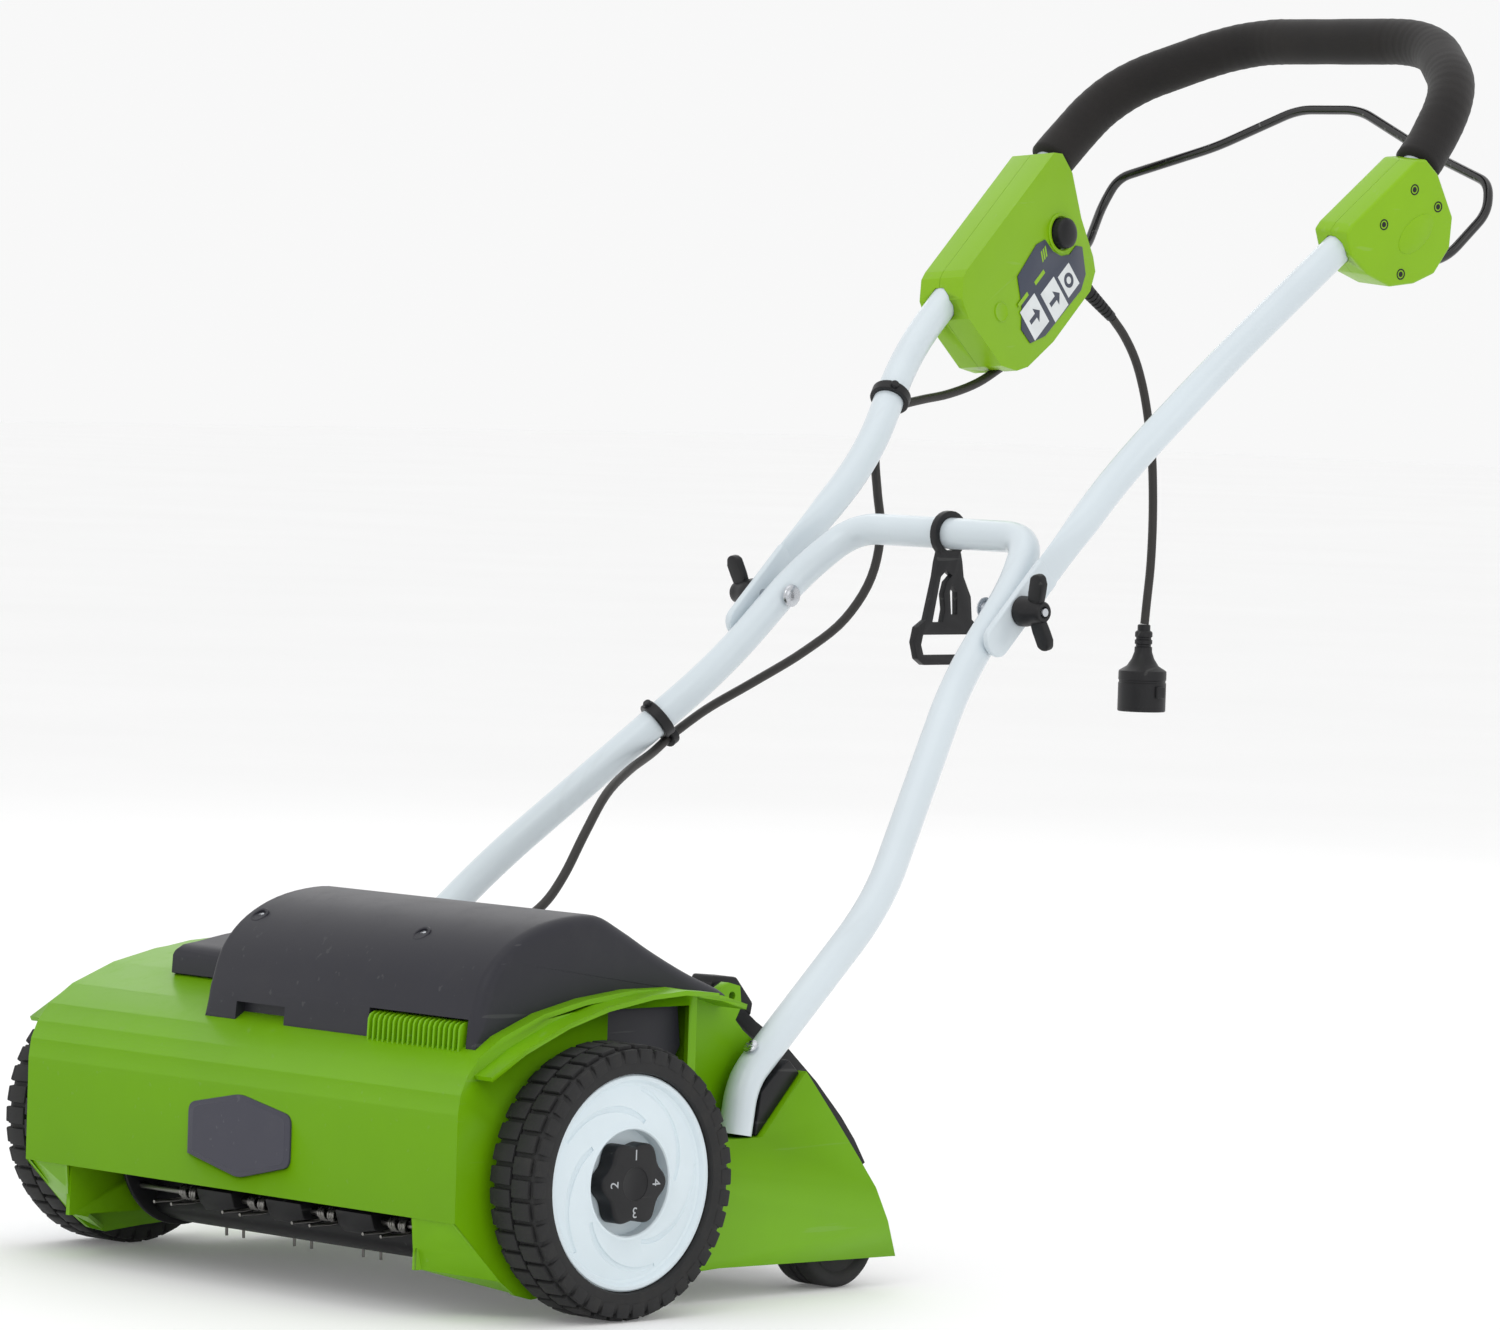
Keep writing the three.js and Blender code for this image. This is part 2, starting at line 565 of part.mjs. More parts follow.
function switchHousing(n0, n1) {
  let half = housingHalf(
    LEFT_FRAME, LEFT_OUTLINE, n0, n1, LEFT_CAVITY, LEFT_MOUTH, [-4, 12]);
  half = half.subtract(solid(slab(LEFT_FRAME, disc(...BUTTON, 13.6), -1, 40)));
  const port = [[-14, 78], [12, 78], [12, 110], [-14, 110]];
  const cordPort = [[114, 80], [136, 80], [136, 112], [114, 112]];
  return half.subtract(solid(slab(LEFT_FRAME, port, -4, 12)))
    .subtract(solid(slab(LEFT_FRAME, cordPort, 8, 22.8)));
}

const rightHousing = (n0, n1) =>
  housingHalf(RIGHT_FRAME, RIGHT_OUTLINE, n0, n1, RIGHT_CAVITY, RIGHT_MOUTH, [-12, 4]);

function lockButton() {
  const stem = solid(slab(LEFT_FRAME, disc(...BUTTON, 13), 8, 34));
  return stem.add(solid(slab(LEFT_FRAME, disc(...BUTTON, 11), 33, 36.5)));
}

const SWITCH_BODY = [[30, 30], [92, 30], [92, 66], [30, 66]];
const LABEL_OUTLINE = [
  [48, 26], [86, 22], [98, 26], [100, 40], [106, 50], [116, 56], [128, 56], [134, 62], [122, 82],
  [108, 88], [44, 86], [24, 78], [22, 62], [36, 48],
];

// ---- bail, hook, clips, cables ------------------------------------------------------------------
const bailPath = roundedPath(wholeLoop(BAIL_LINE), 16);

function cordHook() {
  const x0 = 5;
  const [cy, cz] = [CROSSBAR[0], CROSSBAR[1] - 0.6];
  const outline = new THREE.Shape();
  outline.absarc(cy, cz, 18.5, -Math.PI * 0.28, Math.PI * 1.28, false);
  const rim = [
    [-14, -22], [-16, -34], [-25, -68], [-35, -74], [-38, -86], [-34, -99], [-26, -104], [26, -104],
    [34, -99], [38, -86], [35, -74], [27, -68], [25, -50], [16, -34], [14, -22],
  ];
  for (const [y, z] of rim) outline.lineTo(cy + y, cz + z);
  const poly = (points) => new THREE.Path(points.map(([y, z]) => new THREE.Vector2(cy + y, cz + z)));
  const holes = [
    circlePath([cy, cz], 13.3),
    poly([[-4, -29], [-10, -34], [-18, -70], [-6, -70], [-4, -60], [-6, -48], [-3, -38], [3, -33]]),
    poly([[3, -40], [1, -46], [3, -64], [10, -64], [9, -46]]),
    poly([[-28, -80], [-30, -88], [-27, -96], [27, -96], [30, -88], [28, -80]]),
  ];
  return prismX(outline, x0, x0 + 6, holes, 10);
}

// A ring round a tube, with a small eye beside it for the cable.
function cableClip(at, tubeDir, eye, cableDir) {
  const along = (r, length, sides, dir, centre) => {
    const turn = new THREE.Quaternion().setFromUnitVectors(
      new THREE.Vector3(0, 1, 0), vec(dir).normalize());
    return solid(new THREE.CylinderGeometry(r, r, length, sides).applyQuaternion(turn)
      .translate(...centre));
  };
  return along(16.5, 9, 14, tubeDir, at)
    .add(along(7.6, 8, 10, cableDir, eye))
    .subtract(along(13.5, 24, 14, tubeDir, at))
    .subtract(along(CABLE_R + 1.8, 24, 8, cableDir, eye));
}

const curveOf = (points) => new THREE.CatmullRomCurve3(points.map(vec), false, "centripetal");

function strainRelief() {
  const start = vec([-184, 953, 760]);
  const end = vec([-184, 990.6, 734]);
  const length = start.distanceTo(end);
  const turn = new THREE.Quaternion().setFromUnitVectors(
    new THREE.Vector3(0, 1, 0), end.clone().sub(start).normalize());
  const g = new THREE.CylinderGeometry(CABLE_R + 0.8, 6.4, length, 12);
  return g.applyQuaternion(turn).translate(...start.clone().add(end).multiplyScalar(0.5).toArray());
}

// Inlet plug: ribbed neck, shoulder and an open cup with three pins inside.
function plugBody() {
  const profile = [
    [0, 0], [5.5, 0], [5.5, -6], [7.5, -8], [7.5, -24], [10, -30], [14, -36], [20.5, -40],
    [20.5, -74], [17.5, -74], [17.5, -46], [0, -46],
  ];
  const points = profile.map(([r, z]) => new THREE.Vector2(r, z)).reverse();
  return new THREE.LatheGeometry(points, 18).rotateX(Math.PI / 2).translate(...PLUG_TOP);
}

function plugPin(k) {
  const t = Math.PI / 6 + (k * Math.PI * 2) / 3;
  const r = 8;
  const g = new THREE.CylinderGeometry(2.4, 2.4, 20, 10).rotateX(Math.PI / 2);
  return g.translate(PLUG_TOP[0] + r * Math.cos(t), PLUG_TOP[1] + r * Math.sin(t), PLUG_TOP[2] - 56.3);
}

// ---- wheels -------------------------------------------------------------------------------------
function tyre() {
  return latheX([
    [79.2, 249], [95, 247], [WHEEL_R, 254], [WHEEL_R, 290], [95, WHEEL_OUT], [79.2, 295],
  ], AXLE, 30);
}

function hub() {
  return latheX([
    [JOURNAL_R + GAP, 253], [HUB_R, 253], [HUB_R, 292], [38.5, 292], [38.5, 281],
    [JOURNAL_R + GAP, 281],
  ], AXLE, 30);
}

function depthKnob() {
  const rim = [];
  const lobes = 6;
  const steps = 24;
  for (let i = 0; i < steps; i += 1) {
    const t = (i * Math.PI * 2) / steps;
    const r = 29.5 + 2.6 * Math.cos(lobes * t);
    rim.push([AXLE[0] + r * Math.cos(t), AXLE[1] + r * Math.sin(t)]);
  }
  return solid(prismX(rim, 282, 297.5))
    .add(solid(rodX(AXLE, JOURNAL_R, 246.3, 283, 20)))
    .add(solid(rodX(PIVOT, PIVOT_R, 234.6, 248, 20)));
}

const rearWheel = () => latheX([
  [REAR_PIN_R + GAP, 192], [34, 192], [REAR_R, 195], [REAR_R, 227], [34, 230], [REAR_PIN_R + GAP, 230],
], REAR_AXLE, 20);

// ---- assembly -----------------------------------------------------------------------------------
add("deck_shell", deckShell(), GREEN);
add("front_badge", frontBadge(), LABEL);
add("motor_cover", motorCover(), COVER_GREY);
add("motor", motor(), DARK_STEEL);
add("motor_pulley", motorPulley(), STEEL);
add("drive_belt", belt(), RUBBER);
add("reel_pulley", ringX(REEL, SHAFT_R + GAP, REEL_PULLEY_R, ...BELT_X), BLACK);
add("belt_guard", beltGuard(), COVER_GREY);
add("reel_rotor", reelRotor(), BLACK);
for (let i = 0; i < ROWS; i += 1) add(`tine_bar_${i + 1}`, tineBar(i), DARK_STEEL);
for (const [side, s] of SIDES) {
  add(`reel_bearing_${side}`, placed(solid(ringX(REEL, SHAFT_R + GAP, 14, 191, 199, 20)), s), STEEL);
}
add("rear_flap", rearFlap(), BLACK);
add("flap_hinge_rod", rodX(FLAP_PIN, FLAP_PIN_R, -206, 206, 12), STEEL);
add("lower_handle", lowerHandle(), PAINTED_TUBE);
add("upper_handle", upperHandle(), PAINTED_TUBE);
for (const [side, s] of SIDES) {
  add(`handle_saddle_${side}`, placed(handleSaddle(), s), BLACK);
  const screw = solid(alongScrew(3, -2, 14)).add(solid(alongScrew(5.5, 13.2, 16)));
  add(`handle_screw_${side}`, placed(screw, s), STEEL);
  add(`carriage_bolt_${side}`, placed(carriageBolt(), s), STEEL);
  add(`wing_knob_${side}`, placed(wingKnob(), s), BLACK);
  add(`front_tyre_${side}`, placed(solid(tyre()), s), RUBBER);
  add(`front_hub_${side}`, placed(solid(hub()), s), WHITE);
  add(`depth_knob_${side}`, placed(depthKnob(), s), BLACK);
  add(`rear_wheel_${side}`, placed(solid(rearWheel()), s), RUBBER);
}
add("rear_axle", rodX(REAR_AXLE, REAR_PIN_R, -237.5, 237.5, 12), STEEL);
add("foam_grip", sweep(foamPath(), FOAM_R, 28, 10, FOAM_BORE_R), FOAM);
add("switch_housing_inner", switchHousing(0.15, 25), GREEN);
add("switch_housing_outer", switchHousing(-21, -0.15), GREEN);
add("switch_block", slab(LEFT_FRAME, SWITCH_BODY, -12, 12), BLACK);
add("switch_label", slab(LEFT_FRAME, LABEL_OUTLINE, 25.3, 26.1), LABEL);
add("lockout_button", lockButton(), BLACK);
add("right_housing_outer", rightHousing(0.15, 20), GREEN);
add("right_housing_inner", rightHousing(-20, -0.15), GREEN);
add("bail_lever", sweep(bailPath, ROD_R, 52, 6), BLACK);
add("cord_hook", cordHook(), BLACK);
add("cable_clip_upper", cableClip([-159.4, 702, 662.7], [-34, 77, 87], UPPER_EYE, [7, -35, -21]), BLACK);
add("cable_clip_lower", cableClip([-153.7, 443.3, 402.7], [85, 167, 162], LOWER_EYE, [5, -43, -23]), BLACK);
add("motor_cable", sweep(curveOf(CABLE_ROUTE), CABLE_R, 48, 8), CORD);
add("strain_relief", strainRelief(), BLACK);
add("power_cord", sweep(curveOf(CORD_ROUTE), CABLE_R, 16, 8), CORD);
add("plug_body", plugBody(), BLACK);
for (let k = 0; k < 3; k += 1) add(`plug_pin_${k + 1}`, plugPin(k), BRASS);

// ---- origin: on the ground, under the middle of the machine ------------------------------------
const CORD_NODES = ["strain_relief", "power_cord", "plug_body", "plug_pin_1", "plug_pin_2", "plug_pin_3"];
const extent = new THREE.Box3();
for (const mesh of group.children) {
  if (!CORD_NODES.includes(mesh.name)) extent.expandByObject(mesh);
}
const middle = extent.getCenter(new THREE.Vector3());
group.position.set(-middle.x, -middle.y, -extent.min.z);
group.updateMatrixWorld(true);

export default group;
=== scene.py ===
import json
import math

import bpy
from mathutils import Matrix, Vector, noise


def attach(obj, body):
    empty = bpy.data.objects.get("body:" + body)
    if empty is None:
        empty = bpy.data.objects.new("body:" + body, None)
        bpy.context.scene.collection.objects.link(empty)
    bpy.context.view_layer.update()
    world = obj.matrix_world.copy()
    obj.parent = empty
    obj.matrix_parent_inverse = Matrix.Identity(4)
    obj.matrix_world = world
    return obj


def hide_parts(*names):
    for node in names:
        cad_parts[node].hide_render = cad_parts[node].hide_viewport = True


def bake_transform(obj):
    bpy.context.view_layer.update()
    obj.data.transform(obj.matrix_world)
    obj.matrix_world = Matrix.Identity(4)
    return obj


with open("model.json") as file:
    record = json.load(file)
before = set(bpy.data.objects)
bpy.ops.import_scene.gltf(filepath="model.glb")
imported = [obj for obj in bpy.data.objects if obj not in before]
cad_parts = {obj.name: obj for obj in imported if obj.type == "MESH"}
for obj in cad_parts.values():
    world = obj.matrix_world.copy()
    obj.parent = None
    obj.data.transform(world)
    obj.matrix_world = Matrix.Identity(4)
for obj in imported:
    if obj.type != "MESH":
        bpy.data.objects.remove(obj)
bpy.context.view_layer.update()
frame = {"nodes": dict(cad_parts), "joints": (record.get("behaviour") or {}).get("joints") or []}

# Shapes are laid out in millimetres with the front axle at y = 0, as the CAD lays them out, and
# carried into the row frame when a piece is finished.
front_axle = next(j for j in frame["joints"] if j["name"] == "front_wheel_spin_right")["pos_m"][1]
TO_ROW = Matrix.Translation((0, front_axle, 0)) @ Matrix.Scale(0.001, 4)
TO_BENCH = TO_ROW.inverted()


def row(point):
    return TO_ROW @ Vector(point)


# ---- camera and light ---------------------------------------------------------------------------
def set_up_camera():
    camera_data = bpy.data.cameras.new("view")
    camera_data.lens = 192
    camera_data.sensor_width = 36
    camera_data.sensor_fit = "HORIZONTAL"
    camera_data.clip_end = 100
    camera = bpy.data.objects.new("view", camera_data)
    bpy.context.collection.objects.link(camera)
    right = Vector((0.70158, 0.71189, 0.03145))
    up = Vector((-0.05337, 0.00848, 0.99854))
    back = Vector((0.71058, -0.70224, 0.04394))
    turn = Matrix((right, up, back)).transposed().to_4x4()
    camera.matrix_world = Matrix.Translation(row((4422.04, -3977.38, 727.87))) @ turn
    bpy.context.scene.camera = camera


def soft_box(name, place, aim, size, power):
    light = bpy.data.lights.new(name, "AREA")
    light.shape = "RECTANGLE"
    light.size, light.size_y = size
    light.energy = power
    lamp = bpy.data.objects.new(name, light)
    bpy.context.collection.objects.link(lamp)
    lamp.location = place
    lamp.rotation_euler = (Vector(aim) - Vector(place)).to_track_quat("-Z", "Y").to_euler()


def set_up_studio():
    world = bpy.data.worlds.new("studio")
    bpy.context.scene.world = world
    world.use_nodes = True
    world.node_tree.nodes["Background"].inputs["Color"].default_value = (1, 1, 1, 1)
    world.node_tree.nodes["Background"].inputs["Strength"].default_value = 0.94
    bpy.context.scene.view_settings.view_transform = "Standard"
    middle = (0, 0, 0.45)
    soft_box("key", (1.2, -3.6, 3.4), middle, (2.6, 2.0), 26)
    soft_box("side_fill", (4.2, -0.4, 1.8), middle, (1.8, 2.2), 9)
    soft_box("rim", (-3.2, 2.8, 2.8), middle, (2.2, 2.2), 16)
    soft_box("overhead", (0, 0, 4.2), middle, (3.2, 3.2), 16)


# ---- finishes -----------------------------------------------------------------------------------
def paint_value(red, green, blue):
    """A colour from 0-255 values, as the shader wants it."""
    def straight(c):
        c /= 255
        return c / 12.92 if c <= 0.04045 else ((c + 0.055) / 1.055) ** 2.4
    return (straight(red), straight(green), straight(blue), 1)


class Wire:
    """A node's output that adds its own Math nodes when it is used in an expression."""

    def __init__(self, finish, socket):
        self.finish = finish
        self.socket = socket

    def _math(self, operation, a, b):
        return self.finish.node("ShaderNodeMath", {"operation": operation}, {0: a, 1: b})

    def __add__(self, other):
        return self._math("ADD", self, other)

    def __radd__(self, other):
        return self._math("ADD", other, self)

    def __sub__(self, other):
        return self._math("SUBTRACT", self, other)

    def __rsub__(self, other):
        return self._math("SUBTRACT", other, self)

    def __mul__(self, other):
        return self._math("MULTIPLY", self, other)

    def __rmul__(self, other):
        return self._math("MULTIPLY", other, self)


class Finish:
    """A material with one main shader, whose nodes are added by node()."""

    def __init__(self, name):
        self.material = bpy.data.materials.new(name)
        self.material.use_nodes = True
        self.tree = self.material.node_tree
        self.tree.nodes.clear()
        self.output = self.tree.nodes.new("ShaderNodeOutputMaterial")
        self.shader = self.tree.nodes.new("ShaderNodeBsdfPrincipled")
        self.tree.links.new(self.shader.outputs[0], self.output.inputs[0])

    def node(self, kind, settings=None, inputs=None, output=0):
        made = self.tree.nodes.new(kind)
        for key, value in (settings or {}).items():
            setattr(made, key, value)
        for key, value in (inputs or {}).items():
            self.feed(made.inputs[key], value)
        return Wire(self, made.outputs[output])

    def feed(self, socket, value):
        if isinstance(value, Wire):
            self.tree.links.new(value.socket, socket)
        else:
            socket.default_value = value

    def set(self, **inputs):
        for key, value in inputs.items():
            self.feed(self.shader.inputs[key.replace("_", " ")], value)
        return self

    def place(self, stretch=(1, 1, 1), turn=(0, 0, 0)):
        here = self.node("ShaderNodeTexCoord", output=3)
        return self.node("ShaderNodeMapping", None, {"Vector": here, "Scale": stretch, "Rotation": turn})

    def speckle(self, scale, detail=2.0, rough=0.5, stretch=(1, 1, 1), turn=(0, 0, 0)):
        return self.node("ShaderNodeTexNoise", None, {
            "Vector": self.place(stretch, turn), "Scale": scale, "Detail": detail, "Roughness": rough})

    def between(self, value, low, high, to_low=0.0, to_high=1.0):
        return self.node("ShaderNodeMapRange", {"clamp": True}, {
            0: value, 1: low, 2: high, 3: to_low, 4: to_high})

    def mixed(self, factor, first, second):
        return self.node("ShaderNodeMix", {"data_type": "RGBA"}, {0: factor, 6: first, 7: second}, 2)

    def relief(self, height, strength, depth_mm):
        return self.node("ShaderNodeBump", None, {
            "Strength": strength, "Distance": depth_mm / 1000, "Height": height})


def shade(colour, k):
    """The same colour, darker or lighter by the factor k."""
    return (colour[0] * k, colour[1] * k, colour[2] * k, 1)


def moulded(name, colour, rough, grain_mm=0.7, grain=0.16, mottle=0.05, scuffs=0.12, coat=0.0, specular=0.38,
            dusty=0.02):
    """Moulded plastic: slight mottling, a fine spark-eroded grain, dust in patches and rare scuffs."""
    f = Finish(name)
    cloud = f.speckle(9, 4, 0.6)
    fine = f.speckle(1000 / grain_mm, 2, 0.6)
    scratch = f.between(f.speckle(160, 2, 0.5, (1, 0.05, 0.9), (0.3, 0.5, 0.9)), 0.69, 0.73)
    dust = f.between(f.speckle(38, 6, 0.7), 0.5, 0.82)
    tone = f.mixed(f.between(cloud, 0.3, 0.7), shade(colour, 1 - mottle), shade(colour, 1 + mottle))
    tone = f.mixed(scratch * scuffs, tone, shade(paint_value(206, 208, 204), 0.8))
    tone = f.mixed(dust * dusty, tone, paint_value(170, 166, 156))
    f.set(Base_Color=tone, Roughness=rough + (cloud - 0.5) * 0.14 + dust * 0.08 + scratch * 0.1)
    f.set(Normal=f.relief(fine + scratch * -0.4, grain, 0.09))
    f.set(Coat_Weight=coat, Coat_Roughness=0.2, Specular_IOR_Level=specular)
    return f.material


def powder_coat(name, colour, rough):
    """Painted tube: a soft orange peel under a gloss coat, with a few rubbed streaks."""
    f = Finish(name)
    peel = f.speckle(420, 1.5, 0.5)
    cloud = f.speckle(7, 3, 0.5)
    streak = f.between(f.speckle(60, 3, 0.6, (1, 0.12, 0.12)), 0.62, 0.74)
    tone = f.mixed(f.between(cloud, 0.3, 0.7), shade(colour, 0.95), shade(colour, 1.03))
    tone = f.mixed(streak * 0.12, tone, paint_value(150, 152, 152))
    f.set(Base_Color=tone, Roughness=rough + streak * 0.18 + (cloud - 0.5) * 0.08)
    f.set(Normal=f.relief(peel, 0.12, 0.06), Coat_Weight=0.35, Coat_Roughness=0.14)
    return f.material


def foam_rubber(name):
    """Closed-cell foam: fine pores with painted shade in them, a dull sheen, wrinkled across the tube at the
    bends.
    """
    f = Finish(name)
    pores = f.node("ShaderNodeTexVoronoi", {"feature": "F1"}, {"Vector": f.place(), "Scale": 900.0})
    lumps = f.speckle(120, 4, 0.6)
    cloud = f.speckle(14, 4, 0.6)
    tone = f.mixed(f.between(cloud, 0.3, 0.7), paint_value(22, 20, 20), paint_value(33, 30, 29))
    # Painted shade: the pits of the pore pattern are darkened towards near-black, standing in for shade
    # inside the pores.
    tone = f.mixed(f.between(pores, 0.0, 0.35, 0.5, 0), tone, paint_value(12, 11, 11))
    f.set(Base_Color=tone, Roughness=0.86 + (cloud - 0.5) * 0.12)
    f.set(Normal=f.relief(pores * 0.7 + lumps * 0.6, 0.6, 0.25))
    f.set(Sheen_Weight=0.12, Sheen_Roughness=0.5, Specular_IOR_Level=0.35)
    return f.material


def tyre_rubber(name, colour):
    """Matt rubber: a clouded tone, fine pores and a little dust."""
    f = Finish(name)
    cloud = f.speckle(22, 5, 0.65)
    fine = f.speckle(1100, 3, 0.6)
    dust = f.between(f.speckle(60, 6, 0.7), 0.5, 0.8)
    tone = f.mixed(f.between(cloud, 0.3, 0.7), shade(colour, 0.85), shade(colour, 1.2))
    tone = f.mixed(dust * 0.1, tone, paint_value(112, 108, 100))
    f.set(Base_Color=tone, Roughness=0.7 + dust * 0.12 + (cloud - 0.5) * 0.15)
    f.set(Normal=f.relief(fine + cloud * 0.6, 0.3, 0.12), Specular_IOR_Level=0.4)
    return f.material


def metal(name, colour, rough, dull=None):
    """Plated or drawn metal: fine lines, a clouded tone and small dull spots."""
    f = Finish(name)
    lines = f.speckle(300, 3, 0.6, (0.08, 1, 1))
    cloud = f.speckle(45, 4, 0.6)
    spots = f.between(f.speckle(260, 4, 0.7), 0.62, 0.76)
    tone = f.mixed(f.between(cloud, 0.3, 0.7), shade(colour, 0.84), shade(colour, 1.08))
    tone = f.mixed(spots * 0.4, tone, dull or shade(colour, 0.5))
    f.set(Base_Color=tone, Metallic=1.0 - spots * 0.25)
    f.set(Roughness=rough + (lines - 0.5) * 0.2 + spots * 0.2)
    f.set(Normal=f.relief(lines, 0.12, 0.05))
    return f.material


def cable_sheath(name, colour):
    """Soft cable plastic with a faint, even grain."""
    f = Finish(name)
    cloud = f.speckle(40, 4, 0.6)
    fine = f.speckle(900, 2, 0.5)
    tone = f.mixed(f.between(cloud, 0.3, 0.7), shade(colour, 0.85), shade(colour, 1.2))
    f.set(Base_Color=tone, Roughness=0.5 + (cloud - 0.5) * 0.2)
    f.set(Normal=f.relief(fine + cloud, 0.2, 0.08))
    return f.material


def printed(name, colour):
    """A printed film: nearly even, with a faint cloud."""
    f = Finish(name)
    cloud = f.speckle(60, 3, 0.5)
    tone = f.mixed(f.between(cloud, 0.3, 0.7), shade(colour, 0.93), shade(colour, 1.03))
    f.set(Base_Color=tone, Roughness=0.5 + (cloud - 0.5) * 0.1)
    return f.material


def studio_floor(name):
    f = Finish(name)
    cloud = f.speckle(1.3, 3, 0.5)
    tone = f.mixed(f.between(cloud, 0.3, 0.7), (0.86, 0.86, 0.86, 1), (0.88, 0.88, 0.88, 1))
    f.set(Base_Color=tone, Roughness=0.75 + (cloud - 0.5) * 0.05)
    f.set(Emission_Color=(1, 1, 1, 1), Emission_Strength=0.1)
    return f.material


DECK_GREEN = moulded(
    "deck_green", paint_value(110, 167, 0), 0.4, grain_mm=0.8, grain=0.12, mottle=0.04, scuffs=0.06,
    coat=0.03, specular=0.22, dusty=0.008)
HOUSING_GREEN = moulded(
    "housing_green", paint_value(130, 179, 4), 0.36, grain_mm=0.8, grain=0.12, mottle=0.04, scuffs=0.06,
    coat=0.04, specular=0.3, dusty=0.012)
COVER_GREY = moulded(
    "cover_grey", paint_value(40, 40, 47), 0.48, grain_mm=0.6, grain=0.3, mottle=0.07, scuffs=0.05,
    specular=0.3)
BLACK_PLASTIC = moulded(
    "black_plastic", paint_value(19, 19, 22), 0.44, grain_mm=0.6, grain=0.25, mottle=0.1, scuffs=0.06,
    specular=0.34)
GLOSS_BLACK = moulded(
    "gloss_black_rod", paint_value(22, 21, 23), 0.2, grain_mm=0.9, grain=0.06, mottle=0.08, scuffs=0.2,
    coat=0.5)
GUARD_BLACK = moulded(
    "guard_black", paint_value(24, 24, 26), 0.5, grain_mm=0.5, grain=0.35, mottle=0.08, scuffs=0.08,
    specular=0.32)
BADGE_GREY = moulded(
    "badge_grey", paint_value(60, 60, 71), 0.38, grain_mm=0.9, grain=0.1, mottle=0.04, scuffs=0.05,
    specular=0.3)
LABEL_GREY = moulded(
    "label_grey", paint_value(65, 70, 85), 0.36, grain_mm=0.9, grain=0.06, mottle=0.03, scuffs=0.05)
HUB_WHITE = moulded(
    "hub_white", paint_value(216, 228, 234), 0.34, grain_mm=0.9, grain=0.1, mottle=0.03, scuffs=0.06,
    coat=0.1)
TUBE_PAINT = powder_coat("tube_paint", paint_value(206, 216, 222), 0.3)
GRIP_FOAM = foam_rubber("grip_foam")
TYRE_RUBBER = tyre_rubber("tyre_rubber", paint_value(30, 30, 31))
BELT_RUBBER = tyre_rubber("belt_rubber", paint_value(30, 30, 30))
ZINC = metal("zinc_plate", paint_value(196, 199, 204), 0.26)
TINE_STEEL = metal("tine_steel", paint_value(142, 140, 137), 0.34, paint_value(60, 50, 42))
DARK_STEEL = metal("dark_steel", paint_value(72, 70, 70), 0.4)
BRASS = metal("pin_brass", paint_value(196, 172, 112), 0.28)
CORD_BLACK = cable_sheath("cord_black", paint_value(34, 31, 29))
PRINT_WHITE = printed("print_white", paint_value(222, 226, 228))
PRINT_GREEN = printed("print_green", paint_value(140, 186, 24))
PRINT_GREY = printed("print_grey", paint_value(176, 180, 184))
FLOOR = studio_floor("studio_floor")


# ---- bench tools --------------------------------------------------------------------------------
def put_down():
    """Leaves edit mode with nothing selected."""
    if bpy.context.mode != "OBJECT":
        bpy.ops.object.mode_set(mode="OBJECT")
    bpy.ops.object.select_all(action="DESELECT")


def take(piece):
    put_down()
    piece.select_set(True)
    bpy.context.view_layer.objects.active = piece


def edit_all(piece):
    take(piece)
    bpy.ops.object.mode_set(mode="EDIT")
    bpy.ops.mesh.select_mode(type="VERT")
    bpy.ops.mesh.select_all(action="SELECT")


def settle(piece, outward=True):
    """Merges doubles and turns the faces outwards."""
    edit_all(piece)
    bpy.ops.mesh.remove_doubles(threshold=0.005)
    if outward:
        bpy.ops.mesh.normals_make_consistent(inside=False)
    put_down()
    return piece


def flat(points):
    """A flat face with these corners."""
    put_down()
    bpy.ops.mesh.primitive_circle_add(vertices=len(points), fill_type="NGON")
    piece = bpy.context.object
    for vertex, point in zip(piece.data.vertices, points):
        vertex.co = point
    return piece


def prism(points, travel):
    """The outline drawn out along travel."""
    piece = flat(points)
    edit_all(piece)
    bpy.ops.mesh.extrude_region_move(TRANSFORM_OT_translate={"value": travel})
    return settle(piece)


def prism_x(outline, x0, x1):
    return prism([(x0, y, z) for y, z in outline], (x1 - x0, 0, 0))


def turned(profile, steps=48, fit=None, centre=(0, 0, 0), axis=(0, 0, 1)):
    """A closed profile of (radius, height) spun round an axis. fit overrides centre and axis."""
    put_down()
    bpy.ops.mesh.primitive_circle_add(vertices=len(profile), fill_type="NOTHING")
    piece = bpy.context.object
    for vertex, (radius, height) in zip(piece.data.vertices, profile):
        vertex.co = (radius, 0, height)
    edit_all(piece)
    bpy.ops.mesh.spin(steps=steps, angle=math.tau, center=(0, 0, 0), axis=(0, 0, 1))
    settle(piece)
    if fit is None:
        fit = Matrix.Translation(centre) @ Vector(axis).to_track_quat("Z", "Y").to_matrix().to_4x4()
    piece.data.transform(fit)
    if fit.determinant() < 0:
        piece.data.flip_normals()
    return piece


def turned_x(profile, centre, steps=48):
    """A profile of (radius, x) spun round the X direction through (y, z)."""
    along_x = Matrix(((0, 0, 1, 0), (1, 0, 0, centre[0]), (0, 1, 0, centre[1]), (0, 0, 0, 1)))
    return turned(profile, steps, along_x)


def block(low, high):
    """A box between two corners, to be rounded or used to cut."""
    put_down()
    bpy.ops.mesh.primitive_cube_add(size=1)
    piece = bpy.context.object
    low, high = Vector(low), Vector(high)
    for vertex in piece.data.vertices:
        vertex.co = [(low[i] + high[i]) / 2 + vertex.co[i] * (high[i] - low[i]) for i in range(3)]
    return piece


